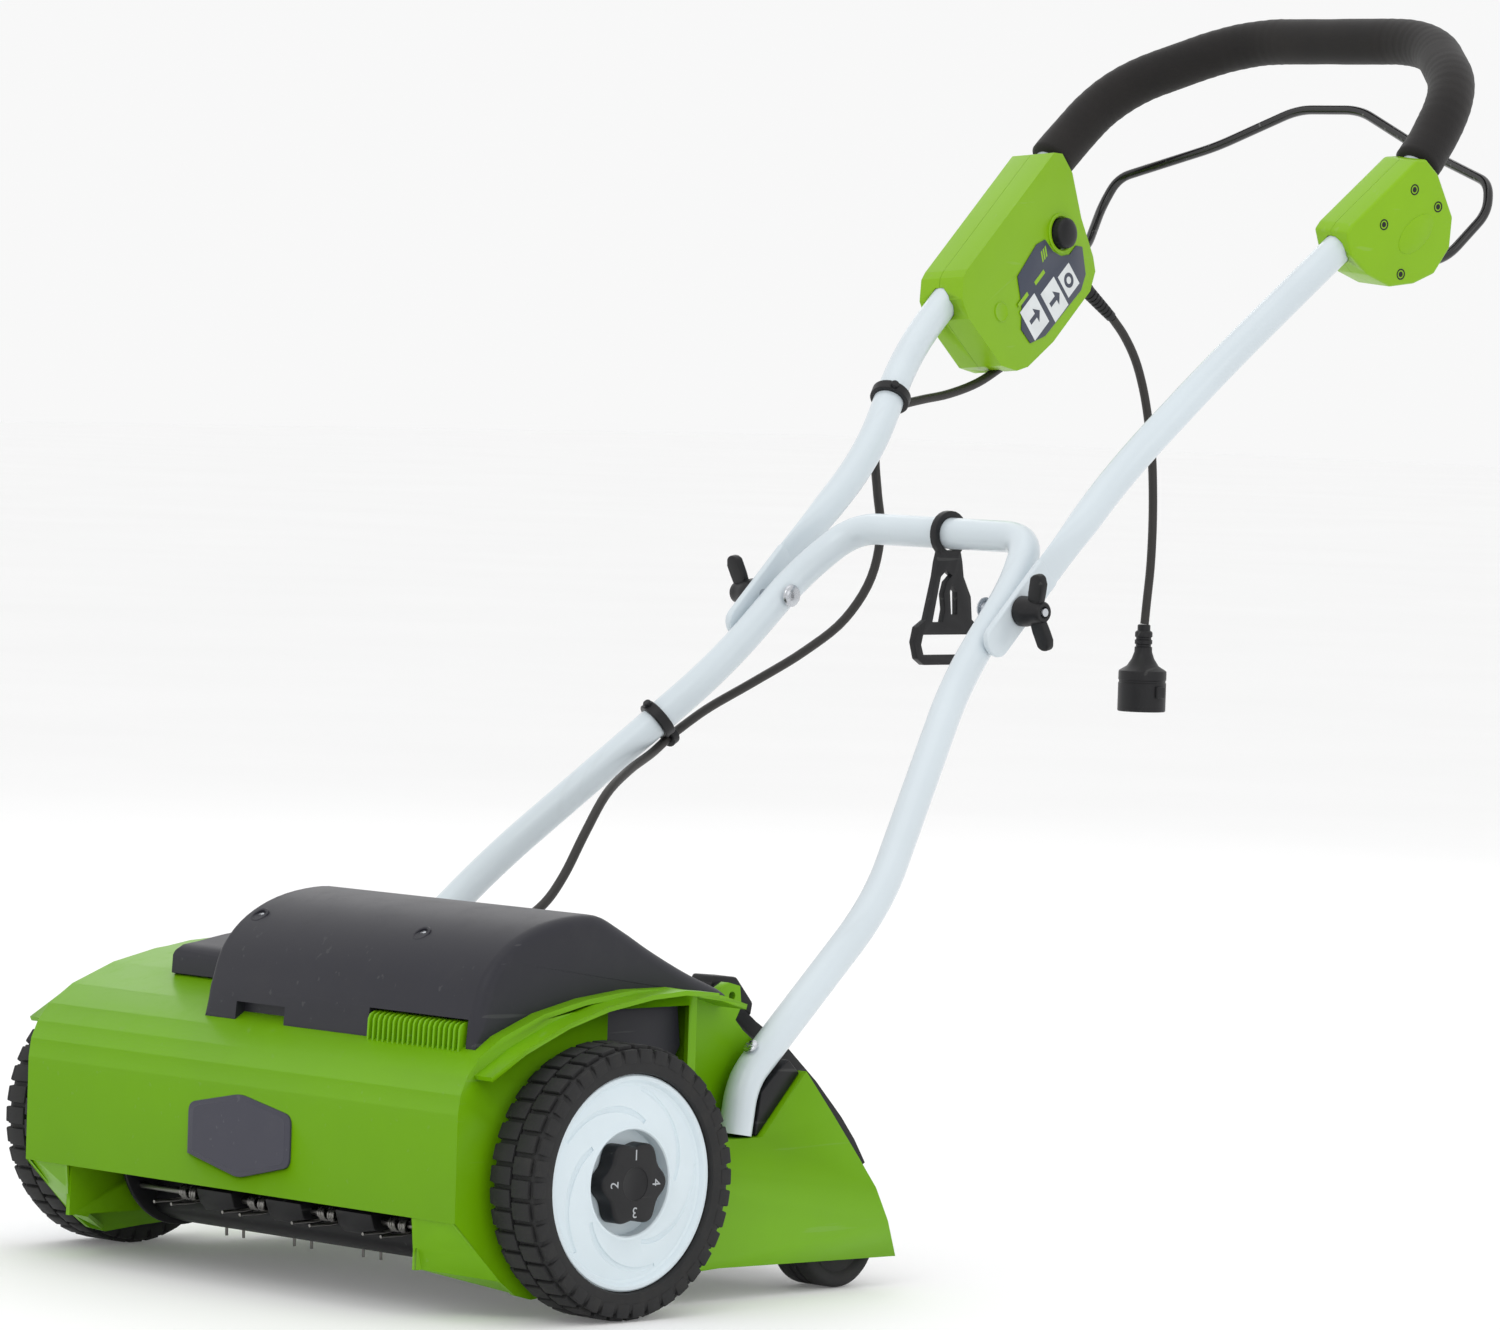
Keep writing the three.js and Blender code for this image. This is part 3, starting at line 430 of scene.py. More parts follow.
def rolled(rings):
    """A sheet of rings rolled into a tube; a ring drawn to one point closes an end."""
    around, along = len(rings[0]), len(rings)
    put_down()
    bpy.ops.mesh.primitive_grid_add(x_subdivisions=around, y_subdivisions=along - 1)
    piece = bpy.context.object
    spots = [Vector(ring[i % around]) for ring in rings for i in range(around + 1)]
    piece.data.vertices.foreach_set("co", [c for spot in spots for c in spot])
    return settle(piece)


def swept(line, radius, sides=16, closed=(True, True), first=None):
    """A tube along a line. radius is a number, or gives one or a pair of radii for a distance."""
    line = [Vector(p) for p in line]
    rings, travelled = [], 0.0
    heading = (line[1] - line[0]).normalized()
    side = Vector(first) if first else heading.orthogonal()
    for i, point in enumerate(line):
        ahead = line[min(i + 1, len(line) - 1)] - line[max(i - 1, 0)]
        heading = ahead.normalized()
        side = (side - heading * side.dot(heading)).normalized()
        other = heading.cross(side)
        if i:
            travelled += (point - line[i - 1]).length
        size = radius(travelled) if callable(radius) else radius
        a, b = size if isinstance(size, tuple) else (size, size)
        rings.append([
            point + side * a * math.cos(math.tau * k / sides) + other * b * math.sin(math.tau * k / sides)
            for k in range(sides)])
    if closed[0]:
        rings.insert(0, [line[0]] * sides)
    if closed[1]:
        rings.append([line[-1]] * sides)
    return rolled(rings)


def rounded_line(points, reach, step=12.0, arc=10):
    """Corner points joined by straight runs, with each corner rounded."""
    points = [Vector(p) for p in points]
    line = []

    def run(a, b):
        count = max(1, round((b - a).length / step))
        line.extend(a.lerp(b, k / count) for k in range(count))

    start = points[0]
    for before, corner, after in zip(points, points[1:], points[2:]):
        back, ahead = before - corner, after - corner
        cut = min(reach, back.length * 0.45, ahead.length * 0.45)
        a = corner + back.normalized() * cut
        b = corner + ahead.normalized() * cut
        run(start, a)
        for k in range(arc):
            t = k / arc
            line.append(a * (1 - t) ** 2 + corner * 2 * t * (1 - t) + b * t * t)
        start = b
    run(start, points[-1])
    return [*line, points[-1]]


def laid_curve(points, per_span=5):
    """A smooth line through the points, the way a cable lies."""
    points = [Vector(p) for p in points]
    points = [points[0] * 2 - points[1], *points, points[-1] * 2 - points[-2]]
    line = []
    for p0, p1, p2, p3 in zip(points, points[1:], points[2:], points[3:]):
        d1, d2, d3 = ((a - b).length ** 0.5 for a, b in ((p1, p0), (p2, p1), (p3, p2)))
        t1 = ((p1 - p0) / d1 - (p2 - p0) / (d1 + d2) + (p2 - p1) / d2) * d2
        t2 = ((p2 - p1) / d2 - (p3 - p1) / (d2 + d3) + (p3 - p2) / d3) * d2
        for k in range(per_span):
            t = k / per_span
            line.append(
                p1 * (2 * t ** 3 - 3 * t ** 2 + 1) + t1 * (t ** 3 - 2 * t ** 2 + t)
                + p2 * (3 * t ** 2 - 2 * t ** 3) + t2 * (t ** 3 - t ** 2))
    return [*line, points[-2]]


def joined(pieces):
    put_down()
    for piece in pieces:
        piece.select_set(True)
    bpy.context.view_layer.objects.active = pieces[0]
    bpy.ops.object.join()
    return bpy.context.object


def mirrored(piece):
    """The same piece, turned into the one for the machine's left."""
    piece.data.transform(Matrix.Scale(-1, 4, (1, 0, 0)))
    piece.data.flip_normals()
    return piece


def apply_modifier(piece, kind, **settings):
    take(piece)
    bpy.ops.object.modifier_add(type=kind)
    modifier = piece.modifiers[-1]
    for key, value in settings.items():
        setattr(modifier, key, value)
    bpy.ops.object.modifier_apply(modifier=modifier.name)
    return piece


def softened(piece, width, segments=3, angle=32):
    """Rounds every edge sharper than the angle."""
    return apply_modifier(
        piece, "BEVEL", width=width, segments=segments, limit_method="ANGLE",
        angle_limit=math.radians(angle), use_clamp_overlap=True, harden_normals=False)


def cut_by(piece, cutter):
    """Takes the cutter's shape out of the piece."""
    apply_modifier(piece, "BOOLEAN", object=cutter, operation="DIFFERENCE", solver="EXACT")
    bpy.data.objects.remove(cutter)
    return piece


def round_chosen(piece, width, segments, chosen, clamp=True):
    """Bevels the edges that chosen(a, b, angle) picks by their two ends and the fold between faces."""
    take(piece)
    mesh = piece.data
    faces = {}
    for polygon in mesh.polygons:
        for key in polygon.edge_keys:
            faces.setdefault(key, []).append(polygon)
    picked = []
    for edge in mesh.edges:
        sharing = faces.get(edge.key, [])
        if len(sharing) != 2:
            continue
        fold = sharing[0].normal.angle(sharing[1].normal, 0)
        a, b = (mesh.vertices[i].co for i in edge.vertices)
        reach = min(f.area for f in sharing) / max((a - b).length, 1e-6)
        if reach > width * 1.05 and chosen(a, b, math.degrees(fold)):
            picked.append(edge.index)
    bpy.ops.object.mode_set(mode="EDIT")
    bpy.ops.mesh.select_mode(type="EDGE")
    bpy.ops.mesh.select_all(action="DESELECT")
    bpy.ops.object.mode_set(mode="OBJECT")
    for index in picked:
        mesh.edges[index].select = True
    bpy.ops.object.mode_set(mode="EDIT")
    bpy.ops.mesh.bevel(offset=width, segments=segments, profile=0.5, clamp_overlap=clamp)
    put_down()
    return piece


def from_node(node):
    """A working copy of a CAD node, merged, with its flat faces whole."""
    piece = bpy.data.objects.new(node + "_copy", frame["nodes"][node].data.copy())
    bpy.context.collection.objects.link(piece)
    piece.data.transform(TO_BENCH)
    piece.data.materials.clear()
    edit_all(piece)
    bpy.ops.mesh.remove_doubles(threshold=0.01)
    bpy.ops.mesh.dissolve_limited(angle_limit=math.radians(0.8))
    put_down()
    return piece


def done(piece, name, finish, body, replaces=(), smooth=35):
    """Names a piece, carries it to the row frame and gives it its finish and its body."""
    take(piece)
    bpy.ops.object.shade_smooth_by_angle(angle=math.radians(smooth))
    piece.data.transform(TO_ROW)
    piece.name = name
    piece.data.name = name
    piece.data.materials.clear()
    piece.data.materials.append(finish)
    if replaces:
        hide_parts(*replaces)
    if body:
        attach(piece, body)
    return piece


SIDES = (("right", 1), ("left", -1))


def handed(piece, s):
    return piece if s > 0 else mirrored(piece)


def whole_loop(line):
    return [*line, *[(-x, y, z) for x, y, z in reversed(line)]]


def tube_frame(s, start, end):
    """Directions at a housing: u along the tube, w towards the knees, n to the machine's right."""
    origin = Vector((s * start[0], start[1], start[2]))
    u = (Vector((s * end[0], end[1], end[2])) - origin).normalized()
    n = (Vector((1, 0, 0)) - u * u.x).normalized()
    w = u.cross(n)
    if w.z > 0:
        w.negate()
    return Matrix((u, w, n)).transposed().to_4x4(), origin


def fit_at(housing, u, w, n=0.0):
    turn, origin = housing
    return Matrix.Translation(origin + turn @ Vector((u, w, n))) @ turn


def slab(outline, n0, n1):
    """A prism laid out in a housing's u and w, between two depths."""
    return prism([(u, w, n0) for u, w in outline], (0, 0, n1 - n0))


def onto(housing, piece):
    """Carries a piece laid out in a housing's directions to its place."""
    fit = fit_at(housing, 0, 0)
    piece.data.transform(fit)
    if fit.determinant() < 0:
        piece.data.flip_normals()
    return piece


# ---- dimensions the pieces share ----------------------------------------------------------------
AXLE = (0, 100)
PIVOT = (0, 105)
REAR_AXLE = (280, 38)
REEL = (-20, 85)
BOLT = (543, 503)
LOWER_LINE = [
    (228, 167, 121), (228, 173, 160), (215, 323, 286), (130, 490, 448), (119, 562, 520), (97, 602, 558)]
UPPER_LINE = [
    (143, 592, 551), (141, 658, 613), (174, 735, 700), (205, 928, 861), (190, 990, 926), (103, 1058, 969)]
BAIL_LINE = [
    (183, 933, 785), (196, 933, 785), (199, 972, 789), (213, 1006, 828), (205, 1016, 852),
    (113, 1037, 880), (34, 1050, 912)]
CABLE_ROUTE = [
    (-181, 858, 691), (-180, 826, 676), (-179, 790, 666), (-177, 757, 661), (-174.5, 729, 656),
    (-171.7, 709, 650), (-167, 694, 635), (-159, 686, 611), (-153, 684, 584), (-150, 686, 553),
    (-150, 677, 516), (-150, 648, 482), (-151, 604, 456), (-153, 548, 431), (-154, 500, 411),
    (-154, 478, 400), (-153.5, 457, 388.5), (-149, 435, 377), (-128, 388, 364), (-108, 345, 347),
    (-96, 312, 318), (-90, 285, 286), (-86, 262, 266), (-84, 234, 252), (-83, 206, 245),
    (-83, 181, 242), (-83, 160, 234), (-83, 150, 224), (-83, 147, 213)]
CORD_ROUTE = [
    (-184, 992, 733), (-184, 1007, 719), (-184, 1022, 699), (-184, 1033, 675), (-184, 1041, 648),
    (-184, 1047, 618), (-184, 1050, 586), (-184, 1051, 554), (-184, 1050, 522), (-184, 1047, 494),
    (-184, 1045, 474)]
DIAL_FACE = 297
CORD_R = 3.75
TUBE_R = 12.5
FOAM_R = 19.0
FOAM_FROM_Z = 860
LEFT = tube_frame(-1, (184.2, 798, 752.6), (205, 928, 861))
RIGHT = tube_frame(1, (193.4, 855, 800.2), (205, 928, 861))


# ---- cords --------------------------------------------------------------------------------------
def make_plug():
    top = Vector((-184, 1044.5, 473.6))
    profile = [
        (0, 0), (4.8, 0), (5.5, -0.8), (5.5, -5), (7, -6), (7.5, -7), (7.5, -10.4), (6.5, -11), (6.5, -12.6),
        (7.5, -13.2), (7.5, -16.4), (6.5, -17), (6.5, -18.6), (7.5, -19.2), (7.6, -23.2), (9.6, -29),
        (13.6, -35.2), (18.8, -38.4), (20.2, -39.4), (20.5, -40.8), (20.5, -47), (19.9, -47.6),
        (19.9, -49.2), (20.5, -49.8), (20.5, -73.2), (19.8, -74), (18.2, -74), (17.5, -73.3), (17.5, -46),
        (0, -46)]
    shell = turned(profile, 56, centre=top)
    lugs = []
    for s in (-1, 1):
        lug = block((s * 20.8 - 1.8, -5, -62), (s * 20.8 + 1.8, 5, -52))
        softened(lug, 1.1)
        lug.data.transform(Matrix.Translation(top))
        lugs.append(lug)
    body = done(
        joined([shell, *lugs]), "inlet_plug", BLACK_PLASTIC, "handle_top", ["plug_body"])
    pins = []
    for k in range(3):
        t = math.pi / 6 + k * math.tau / 3
        spot = top + Vector((8 * math.cos(t), 8 * math.sin(t), -56.3))
        pin = turned([(0, -9.9), (1.4, -9.9), (2.1, -9.3), (2.4, -8.4), (2.4, 10), (0, 10)], 24, centre=spot)
        pins.append(done(pin, f"inlet_pin_{k + 1}", BRASS, "handle_top", [f"plug_pin_{k + 1}"]))
    return [body, *pins]


def make_strain_relief():
    """A tapering boot, ringed by grooves so that it can bend."""
    start, end = Vector((-184, 953, 760)), Vector((-184, 990.6, 734))
    length = (end - start).length
    wide, narrow, plain, pitch = 6.4, 4.55, 8.0, 4.6
    profile = [(0, 0), (wide - 0.2, 0), (wide, 0.8), (wide, plain)]
    height = plain
    while height < length - 6:
        r = wide + (narrow - wide) * height / length
        profile += [(r, height), (r, height + 2.6), (r - 0.9, height + 3.0), (r - 0.9, height + 4.2)]
        height += pitch
    profile += [(4.7, height), (narrow, length - 0.6), (4.3, length), (0, length)]
    boot = turned(profile, 36, centre=start, axis=end - start)
    return done(boot, "cord_boot", BLACK_PLASTIC, "handle_top", ["strain_relief"])


def make_power_cord():
    line = laid_curve(CORD_ROUTE, 4)
    cord = swept(line, CORD_R, 20)
    cord = done(cord, "mains_cord", CORD_BLACK, "handle_top", ["power_cord"])
    boot = make_strain_relief()
    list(make_plug())


def make_motor_cable():
    """Laid along the handle's route as one fixed piece that belongs to no body."""
    cable = swept(laid_curve(CABLE_ROUTE, 5), CORD_R, 18)
    done(cable, "motor_lead", CORD_BLACK, None, ["motor_cable"])
    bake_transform(cable)


# ---- handle -------------------------------------------------------------------------------------
def make_lower_handle():
    tube = swept(rounded_line(whole_loop(LOWER_LINE), 44), TUBE_R, 32)
    done(tube, "lower_tube", TUBE_PAINT, "deck", ["lower_handle"])


def make_upper_handle():
    """A tube whose two ends are pressed flat where they bolt to the lower tube."""
    rise = math.atan2(551 - BOLT[1], 592 - BOLT[0])
    start = (143, BOLT[0] + 34 * math.cos(rise), BOLT[1] + 34 * math.sin(rise))
    line = rounded_line([start, *UPPER_LINE[1:], (0, 1058, 969)], 44, step=6)
    half_thin, half_wide = 3.1, 13.7

    def pressed(distance):
        t = min(max((distance - 10) / 68, 0), 1)
        t = t * t * (3 - 2 * t)
        return half_thin + (TUBE_R - half_thin) * t, half_wide + (TUBE_R - half_wide) * t

    half = swept(line, pressed, 32, closed=(True, False), first=(1, 0, 0))
    back, front, across = -34, 44, 13.4
    outline = [(front, across), (back, across)]
    outline += [(back - 11 * math.sin(t), across * math.cos(t))
                for t in (0.4, 0.8, 1.2, 1.57, 1.94, 2.34, 2.74)]
    outline += [(back, -across), (front, -across)]
    ends = [(BOLT[0] + a * math.cos(rise) - c * math.sin(rise),
             BOLT[1] + a * math.sin(rise) + c * math.cos(rise)) for a, c in outline]
    tab = softened(prism_x(ends, 139.8, 146), 1.8, 3, 50)
    half = joined([half, tab])
    apply_modifier(half, "MIRROR", use_axis=(True, False, False), merge_threshold=0.05)
    settle(half)
    done(half, "upper_tube", TUBE_PAINT, "handle_top", ["upper_handle"])


def make_foam_grip():
    """A foam sleeve with rounded ends, slightly lumpy and wrinkled where the tube bends."""
    line = rounded_line(whole_loop(UPPER_LINE), 44, step=3.0, arc=26)
    line = [p for p in line if p.z >= FOAM_FROM_Z]
    total = sum((b - a).length for a, b in zip(line, line[1:]))
    bends = []
    travelled = 0.0
    for a, b, c in zip(line, line[1:], line[2:]):
        travelled += (b - a).length
        bends.append((travelled, (b - a).angle(c - b, 0)))

    def swollen(distance):
        end = min(distance, total - distance)
        edge = min(end / 3.5, 1)
        size = FOAM_R - 3 * (1 - math.sqrt(max(0, 1 - (1 - edge) ** 2)))
        bend = max((angle for d, angle in bends if abs(d - distance) < 9), default=0)
        ripple = math.sin(distance * 0.62 + 2.2 * noise.noise(Vector((distance * 0.04, 3.1, 0))))
        lump = noise.noise(Vector((distance * 0.05, 0.7, 0)))
        return size + 0.28 * lump + min(bend * 5, 0.4) * ripple

    grip = swept(line, swollen, 48)
    done(grip, "grip_sleeve", GRIP_FOAM, "handle_top", ["foam_grip"], 60)


def make_bolt_and_knob(side, s):
    head = turned_x([
        (0, 103.6), (3, 103.7), (6, 104.4), (8, 105.6), (8.9, 106.7), (9, 107.6), (5.2, 107.6), (4.9, 109.5),
        (4, 110), (4, 165), (3.5, 165.5), (4, 166), (3.5, 166.6), (4, 167.2), (3.5, 167.8), (4, 168.4),
        (3.5, 169), (4, 169.6), (3.5, 170.4), (3.2, 172), (0, 172)], BOLT, 40)
    done(handed(head, s), f"bolt_{side}", ZINC, "deck", [f"carriage_bolt_{side}"])
    core = turned_x([
        (4.3, 146.4), (11.4, 146.4), (12, 147.2), (12, 152), (11, 157.5), (9.6, 161), (8.8, 166),
        (8.4, 169.6), (7.2, 171), (4.8, 171), (4.3, 170.4)], BOLT, 40)
    quarter_turn = Matrix.Rotation(math.pi / 2, 4, "X")
    lean = Matrix.Rotation(0.2, 4, "X")
    wings = []
    for way in (1, -1):
        outline = [(0, 158), (6, 156), (16, 158), (28, 162), (30.4, 166), (30.4, 171), (28, 174), (22, 175),
                   (14, 172.4), (8, 170), (0, 169)]
        wing = prism([(x, way * r, -3.6) for r, x in outline], (0, 0, 7.2))
        softened(wing, 2.3, 4, 30)
        wing.data.transform(Matrix.Translation((0, *BOLT)) @ lean @ quarter_turn)
        wings.append(wing)
    knob = joined([core, *wings])
    done(handed(knob, s), f"wing_nut_{side}", BLACK_PLASTIC, f"knob_{side}",
         [f"wing_knob_{side}"])


def make_foot(side, s):
    saddle = softened(from_node(f"handle_saddle_{side}"), 1.1, 2, 40)
    done(saddle, f"foot_socket_{side}", BLACK_PLASTIC, "deck", [f"handle_saddle_{side}"])
    place, lean = Vector((228, 190, 175)), Vector((0, -0.66, 0.75)).normalized()
    screw = turned([
        (0, -2), (3, -2), (3, 13.2), (5.6, 13.2), (5.9, 13.8), (5.7, 15), (4.6, 16), (2.4, 16.6),
        (0, 16.8)], 32, centre=place, axis=lean)
    cross, bar = block((-3.2, -0.6, 15.2), (3.2, 0.6, 18)), block((-0.6, -3.2, 15.2), (0.6, 3.2, 18))
    apply_modifier(cross, "BOOLEAN", object=bar, operation="UNION", solver="EXACT")
    bpy.data.objects.remove(bar)
    cross.data.transform(Matrix.Translation(place) @ lean.to_track_quat("Z", "Y").to_matrix().to_4x4())
    cut_by(screw, cross)
    done(handed(screw, s), f"foot_screw_{side}", ZINC, "deck", [f"handle_screw_{side}"])


def make_bail():
    rod = swept(rounded_line(whole_loop(BAIL_LINE), 16, step=8, arc=8), 4.0, 20)
    done(rod, "bail_rod", GLOSS_BLACK, "bail", ["bail_lever"])


def make_hook():
    hook = softened(from_node("cord_hook"), 1.3, 3, 40)
    done(hook, "extension_hook", BLACK_PLASTIC, "hook", ["cord_hook"])


def make_clip(name, node, body, at, along, eye, cable_along):
    """A band round the tube, with a small eye for the cable and a nub on the side away from it."""
    def band(inner, outer, half, centre, axis):
        return turned([
            (inner, -half), (outer - 0.8, -half), (outer, -half + 0.8), (outer, half - 0.8),
            (outer - 0.8, half), (inner, half)], 40, centre=centre, axis=axis)

    clasp = band(12.6, 16.4, 4.5, at, along)
    small = band(4.1, 7.4, 4, eye, cable_along)
    out = Vector(at) - Vector(eye)
    tube_way = Vector(along).normalized()
    out = (out - tube_way * out.dot(tube_way)).normalized()
    nub = turned([(0, 12.8), (3.4, 12.8), (3.4, 18.4), (2.8, 19.2), (0, 19.4)], 20, centre=at, axis=out)
    done(joined([clasp, small, nub]), name, BLACK_PLASTIC, body, [node])


# ---- housings on the upper tube -----------------------------------------------------------------
def round_face(piece, housing, depth):
    """Rounds a housing's corners, then the rim of its outer face, which lies at that depth."""
    turn, origin = housing
    n = turn @ Vector((0, 0, 1))

    def off_face(point):
        return abs((point - origin).dot(n) - depth)

    def on_corner(a, b, fold):
        run = b - a
        return (9 < fold < 120 and run.length > 6 and abs(run.normalized().dot(n)) > 0.999
                and max(off_face(a), off_face(b)) > 3)

    def on_rim(a, b, fold):
        return fold > 60 and off_face(a) < 0.05 and off_face(b) < 0.05

    round_chosen(piece, 6, 4, on_corner)
    return round_chosen(piece, 4.5, 5, on_rim)


def seam_screw(housing, u, w, depth, r=3.6):
    """A screw sunk in a round boss in a housing's outer face."""
    fit = fit_at(housing, u, w)
    d = 1 if depth > 0 else -1
    head, groove, boss, root = depth + d * 0.05, depth - d * 0.1, depth + d * 0.35, depth - d * 0.6
    ring = [(0, head), (r * 0.62, head), (r * 0.66, groove), (r * 0.9, groove), (r, boss), (r * 1.22, boss),
            (r * 1.3, root), (0, root)]
    return turned(ring, 28, fit)


LEFT_INNER_FACE, LEFT_OUTER_FACE, RIGHT_OUTER_FACE, RIGHT_INNER_FACE = 25, -21, 20, -20
LOCK_BUTTON_AT = (119, 36)


def make_left_housing():
    inner = round_face(from_node("switch_housing_inner"), LEFT, LEFT_INNER_FACE)
    disc = turned([(0, 24), (8.4, 24), (8.4, 25.5), (7.8, 26.0), (7.2, 25.7), (6.6, 25.4), (0, 25.4)], 40,
                  fit_at(LEFT, 11.4, 34.5))
    rim = turned([(13.7, 22), (17.4, 22), (17.2, 25.9), (16.4, 26.7), (14.8, 26.7), (13.9, 25.9)], 48,
                 fit_at(LEFT, *LOCK_BUTTON_AT))
    done(joined([inner, disc, rim]), "switch_shell_inner", HOUSING_GREEN, "handle_top",
         ["switch_housing_inner"])
    outer = round_face(from_node("switch_housing_outer"), LEFT, LEFT_OUTER_FACE)
    done(outer, "switch_shell_outer", HOUSING_GREEN, "handle_top", ["switch_housing_outer"])
    spots = ((6, 62), (30, 86), (132, 76), (150, 0), (-14, 14))
    screws = [seam_screw(LEFT, u, w, LEFT_OUTER_FACE) for u, w in spots]
    done(joined(screws), "switch_shell_screws", BLACK_PLASTIC, "handle_top")
    button = turned([
        (0, 8), (12.9, 8), (12.9, 31.4), (12.3, 33), (11, 34), (9, 35.2), (6, 36), (3, 36.4), (0, 36.5)], 48,
        fit_at(LEFT, *LOCK_BUTTON_AT))
    done(button, "lock_button_cap", BLACK_PLASTIC, "lock_button", ["lockout_button"])


def make_label():
    """A plate with three white panels, two arrows, a ring and green stripes."""
    outline = [
        (48, 26), (86, 22), (98, 26), (100, 40), (106, 50), (116, 56), (128, 56), (134, 62), (122, 82),
        (108, 88), (44, 86), (24, 78), (22, 62), (36, 48)]
    plate = softened(slab(outline, 25.1, 26.0), 0.35, 2, 50)
    onto(LEFT, plate)
    done(plate, "switch_label_plate", LABEL_GREY, "handle_top", ["switch_label"])
    panels = ((30, 50, 26, 30), (62, 56, 24, 30), (90, 60, 20, 22))
    squares = [softened(block((u, w, 25.9), (u + du, w + dw, 26.15)), 0.09, 1) for u, w, du, dw in panels]
    done(onto(LEFT, joined(squares)), "label_panels", PRINT_WHITE, "handle_top")
    marks = [turned([(3.2, 26.1), (6.4, 26.1), (6.4, 26.28), (3.2, 26.28)], 28,
                    Matrix.Translation((100, 71, 0)))]
    for u, w in ((43, 65), (74, 71)):
        arrow = [(-8, -2), (2, -2), (2, -7), (9, 0), (2, 7), (2, 2), (-8, 2)]
        marks.append(prism([(u + a, w + b, 26.1) for a, b in arrow], (0, 0, 0.18)))
    done(onto(LEFT, joined(marks)), "label_marks", LABEL_GREY, "handle_top")
    stripes = [block((u, 43, 25.9), (u + 17, 46.5, 26.15)) for u in (32, 62)]
    stripes += [prism([(86 + 3.4 * k, 30, 25.9), (88 + 3.4 * k, 30, 25.9), (84 + 3.4 * k, 38, 25.9),
                       (82 + 3.4 * k, 38, 25.9)], (0, 0, 0.25)) for k in range(3)]
    done(onto(LEFT, joined(stripes)), "label_stripes", PRINT_GREEN, "handle_top")


def make_right_housing():
    outer = round_face(from_node("right_housing_outer"), RIGHT, RIGHT_OUTER_FACE)
    angles = [math.tau * t / 40 for t in range(40)]
    oval = [(50.7 + 21 * math.cos(a), 29.8 + 12 * math.sin(a)) for a in angles]
    pad = softened(slab(oval, 19.6, 20.45), 0.4, 2, 50)
    done(joined([outer, onto(RIGHT, pad)]), "right_shell_outer", HOUSING_GREEN, "handle_top",
         ["right_housing_outer"])
    spots = ((69, -1), (82, 26.5), (27, 2), (20, 47))
    screws = [seam_screw(RIGHT, u, w, RIGHT_OUTER_FACE) for u, w in spots]
    done(joined(screws), "right_shell_screws", BLACK_PLASTIC, "handle_top")
    inner = round_face(from_node("right_housing_inner"), RIGHT, RIGHT_INNER_FACE)
    done(inner, "right_shell_inner", HOUSING_GREEN, "handle_top", ["right_housing_inner"])


# ---- deck ---------------------------------------------------------------------------------------
def make_deck():
    deck = from_node("deck_shell")

    def visible_rim(a, b, fold):
        return fold > 38 and (a - b).length > 3 and max(a.y, b.y) < 345

    round_chosen(deck, 1.5, 2, visible_rim)
    done(deck, "deck_moulding", DECK_GREEN, "deck", ["deck_shell"])
    make_cooling_comb()
    for side, s in SIDES:
        make_corner_lobe(side, s)


def make_cooling_comb():
    """The row of thin ribs in the hood's front cut-out."""
    rib_count, first_x, pitch, half_thick = 19, 116, 5.4, 1.1
    outline = [(-100.5, 190), (-99.6, 208), (-98, 211.4), (-94, 213.4), (-84, 214.2), (-84, 199)]
    ribs = []
    for k in range(rib_count):
        x = first_x + pitch * k
        ribs.append(softened(prism_x(outline, x - half_thick, x + half_thick), 0.6, 2, 25))
    done(joined(ribs), "cooling_comb", DECK_GREEN, "deck")


def make_corner_lobe(side, s):
    """The lower corner of the front panel, swept back under the wheel's recess."""
    inner = [(-122, 74), (-119.8, 50), (-116.5, 35), (-100, 31.5)]
    outer = [(-122.2, 74), (-101, 51), (-76, 27.6), (-46, 14)]
    rings = [[(193, y0, z0), (239, y1, z1), (239, y1 + 2, z1 + 2.2), (193, y0 + 2, z0 + 2.2)]
             for (y0, z0), (y1, z1) in zip(inner, outer)]
    middles = [[tuple(sum(c) / 4 for c in zip(*ring))] * 4 for ring in (rings[0], rings[-1])]
    lobe = rolled([middles[0], *rings, middles[1]])
    done(handed(lobe, s), f"corner_lobe_{side}", DECK_GREEN, "deck")


def make_badge():
    """A blank six-sided plate with rounded corners and a slightly raised field."""
    cx, cz, back, thick = 5, 113, -123.2, 1.7
    corners = [(-57, 20), (-57, -18), (0, -31), (57, -18), (57, 20), (0, 31)]
    line = rounded_line([(x, 0, z) for x, z in [*corners, *corners[:2]]], 7, step=400, arc=6)
    points, seen = [], set()
    for p in line[6:]:
        key = (round(p.x, 1), round(p.z, 1))
        if key not in seen:
            seen.add(key)
            points.append((p.x + cx, back, p.z + cz))
    plate = prism(points, (0, -thick, 0))
    round_chosen(plate, 0.7, 3, lambda a, b, fold: fold > 60 and max(a.y, b.y) < -124.5)
    field = prism([(cx + (x - cx) * 0.9, -124.7, cz + (z - cz) * 0.88) for x, _, z in points], (0, -0.35, 0))
    softened(field, 0.15, 1, 50)
    done(joined([plate, field]), "badge_plate", BADGE_GREY, "deck", ["front_badge"])


HOOD = [
    (-97, 197.5), (-95, 217), (-85, 245), (-68, 264), (-40, 279), (-5, 287), (25, 287), (50, 276), (80, 260),
    (118, 242), (150, 229.5), (154, 227)]
STEP = [(-52, 217.5), (-49, 236), (-28, 241), (10, 247), (60, 250), (104, 246), (108, 232.5)]
DECK_TOP = [
    (154, 219.6), (138, 225.4), (90, 232.4), (45, 232.4), (0, 227.4), (-42, 218.4), (-82, 203.4),
    (-97, 194.6)]
HOOD_FAR, HOOD_NEAR, STEP_FAR = -68, 228, -160
HOOD_SCREWS = ((127, -60, 269), (-52, -60, 269))


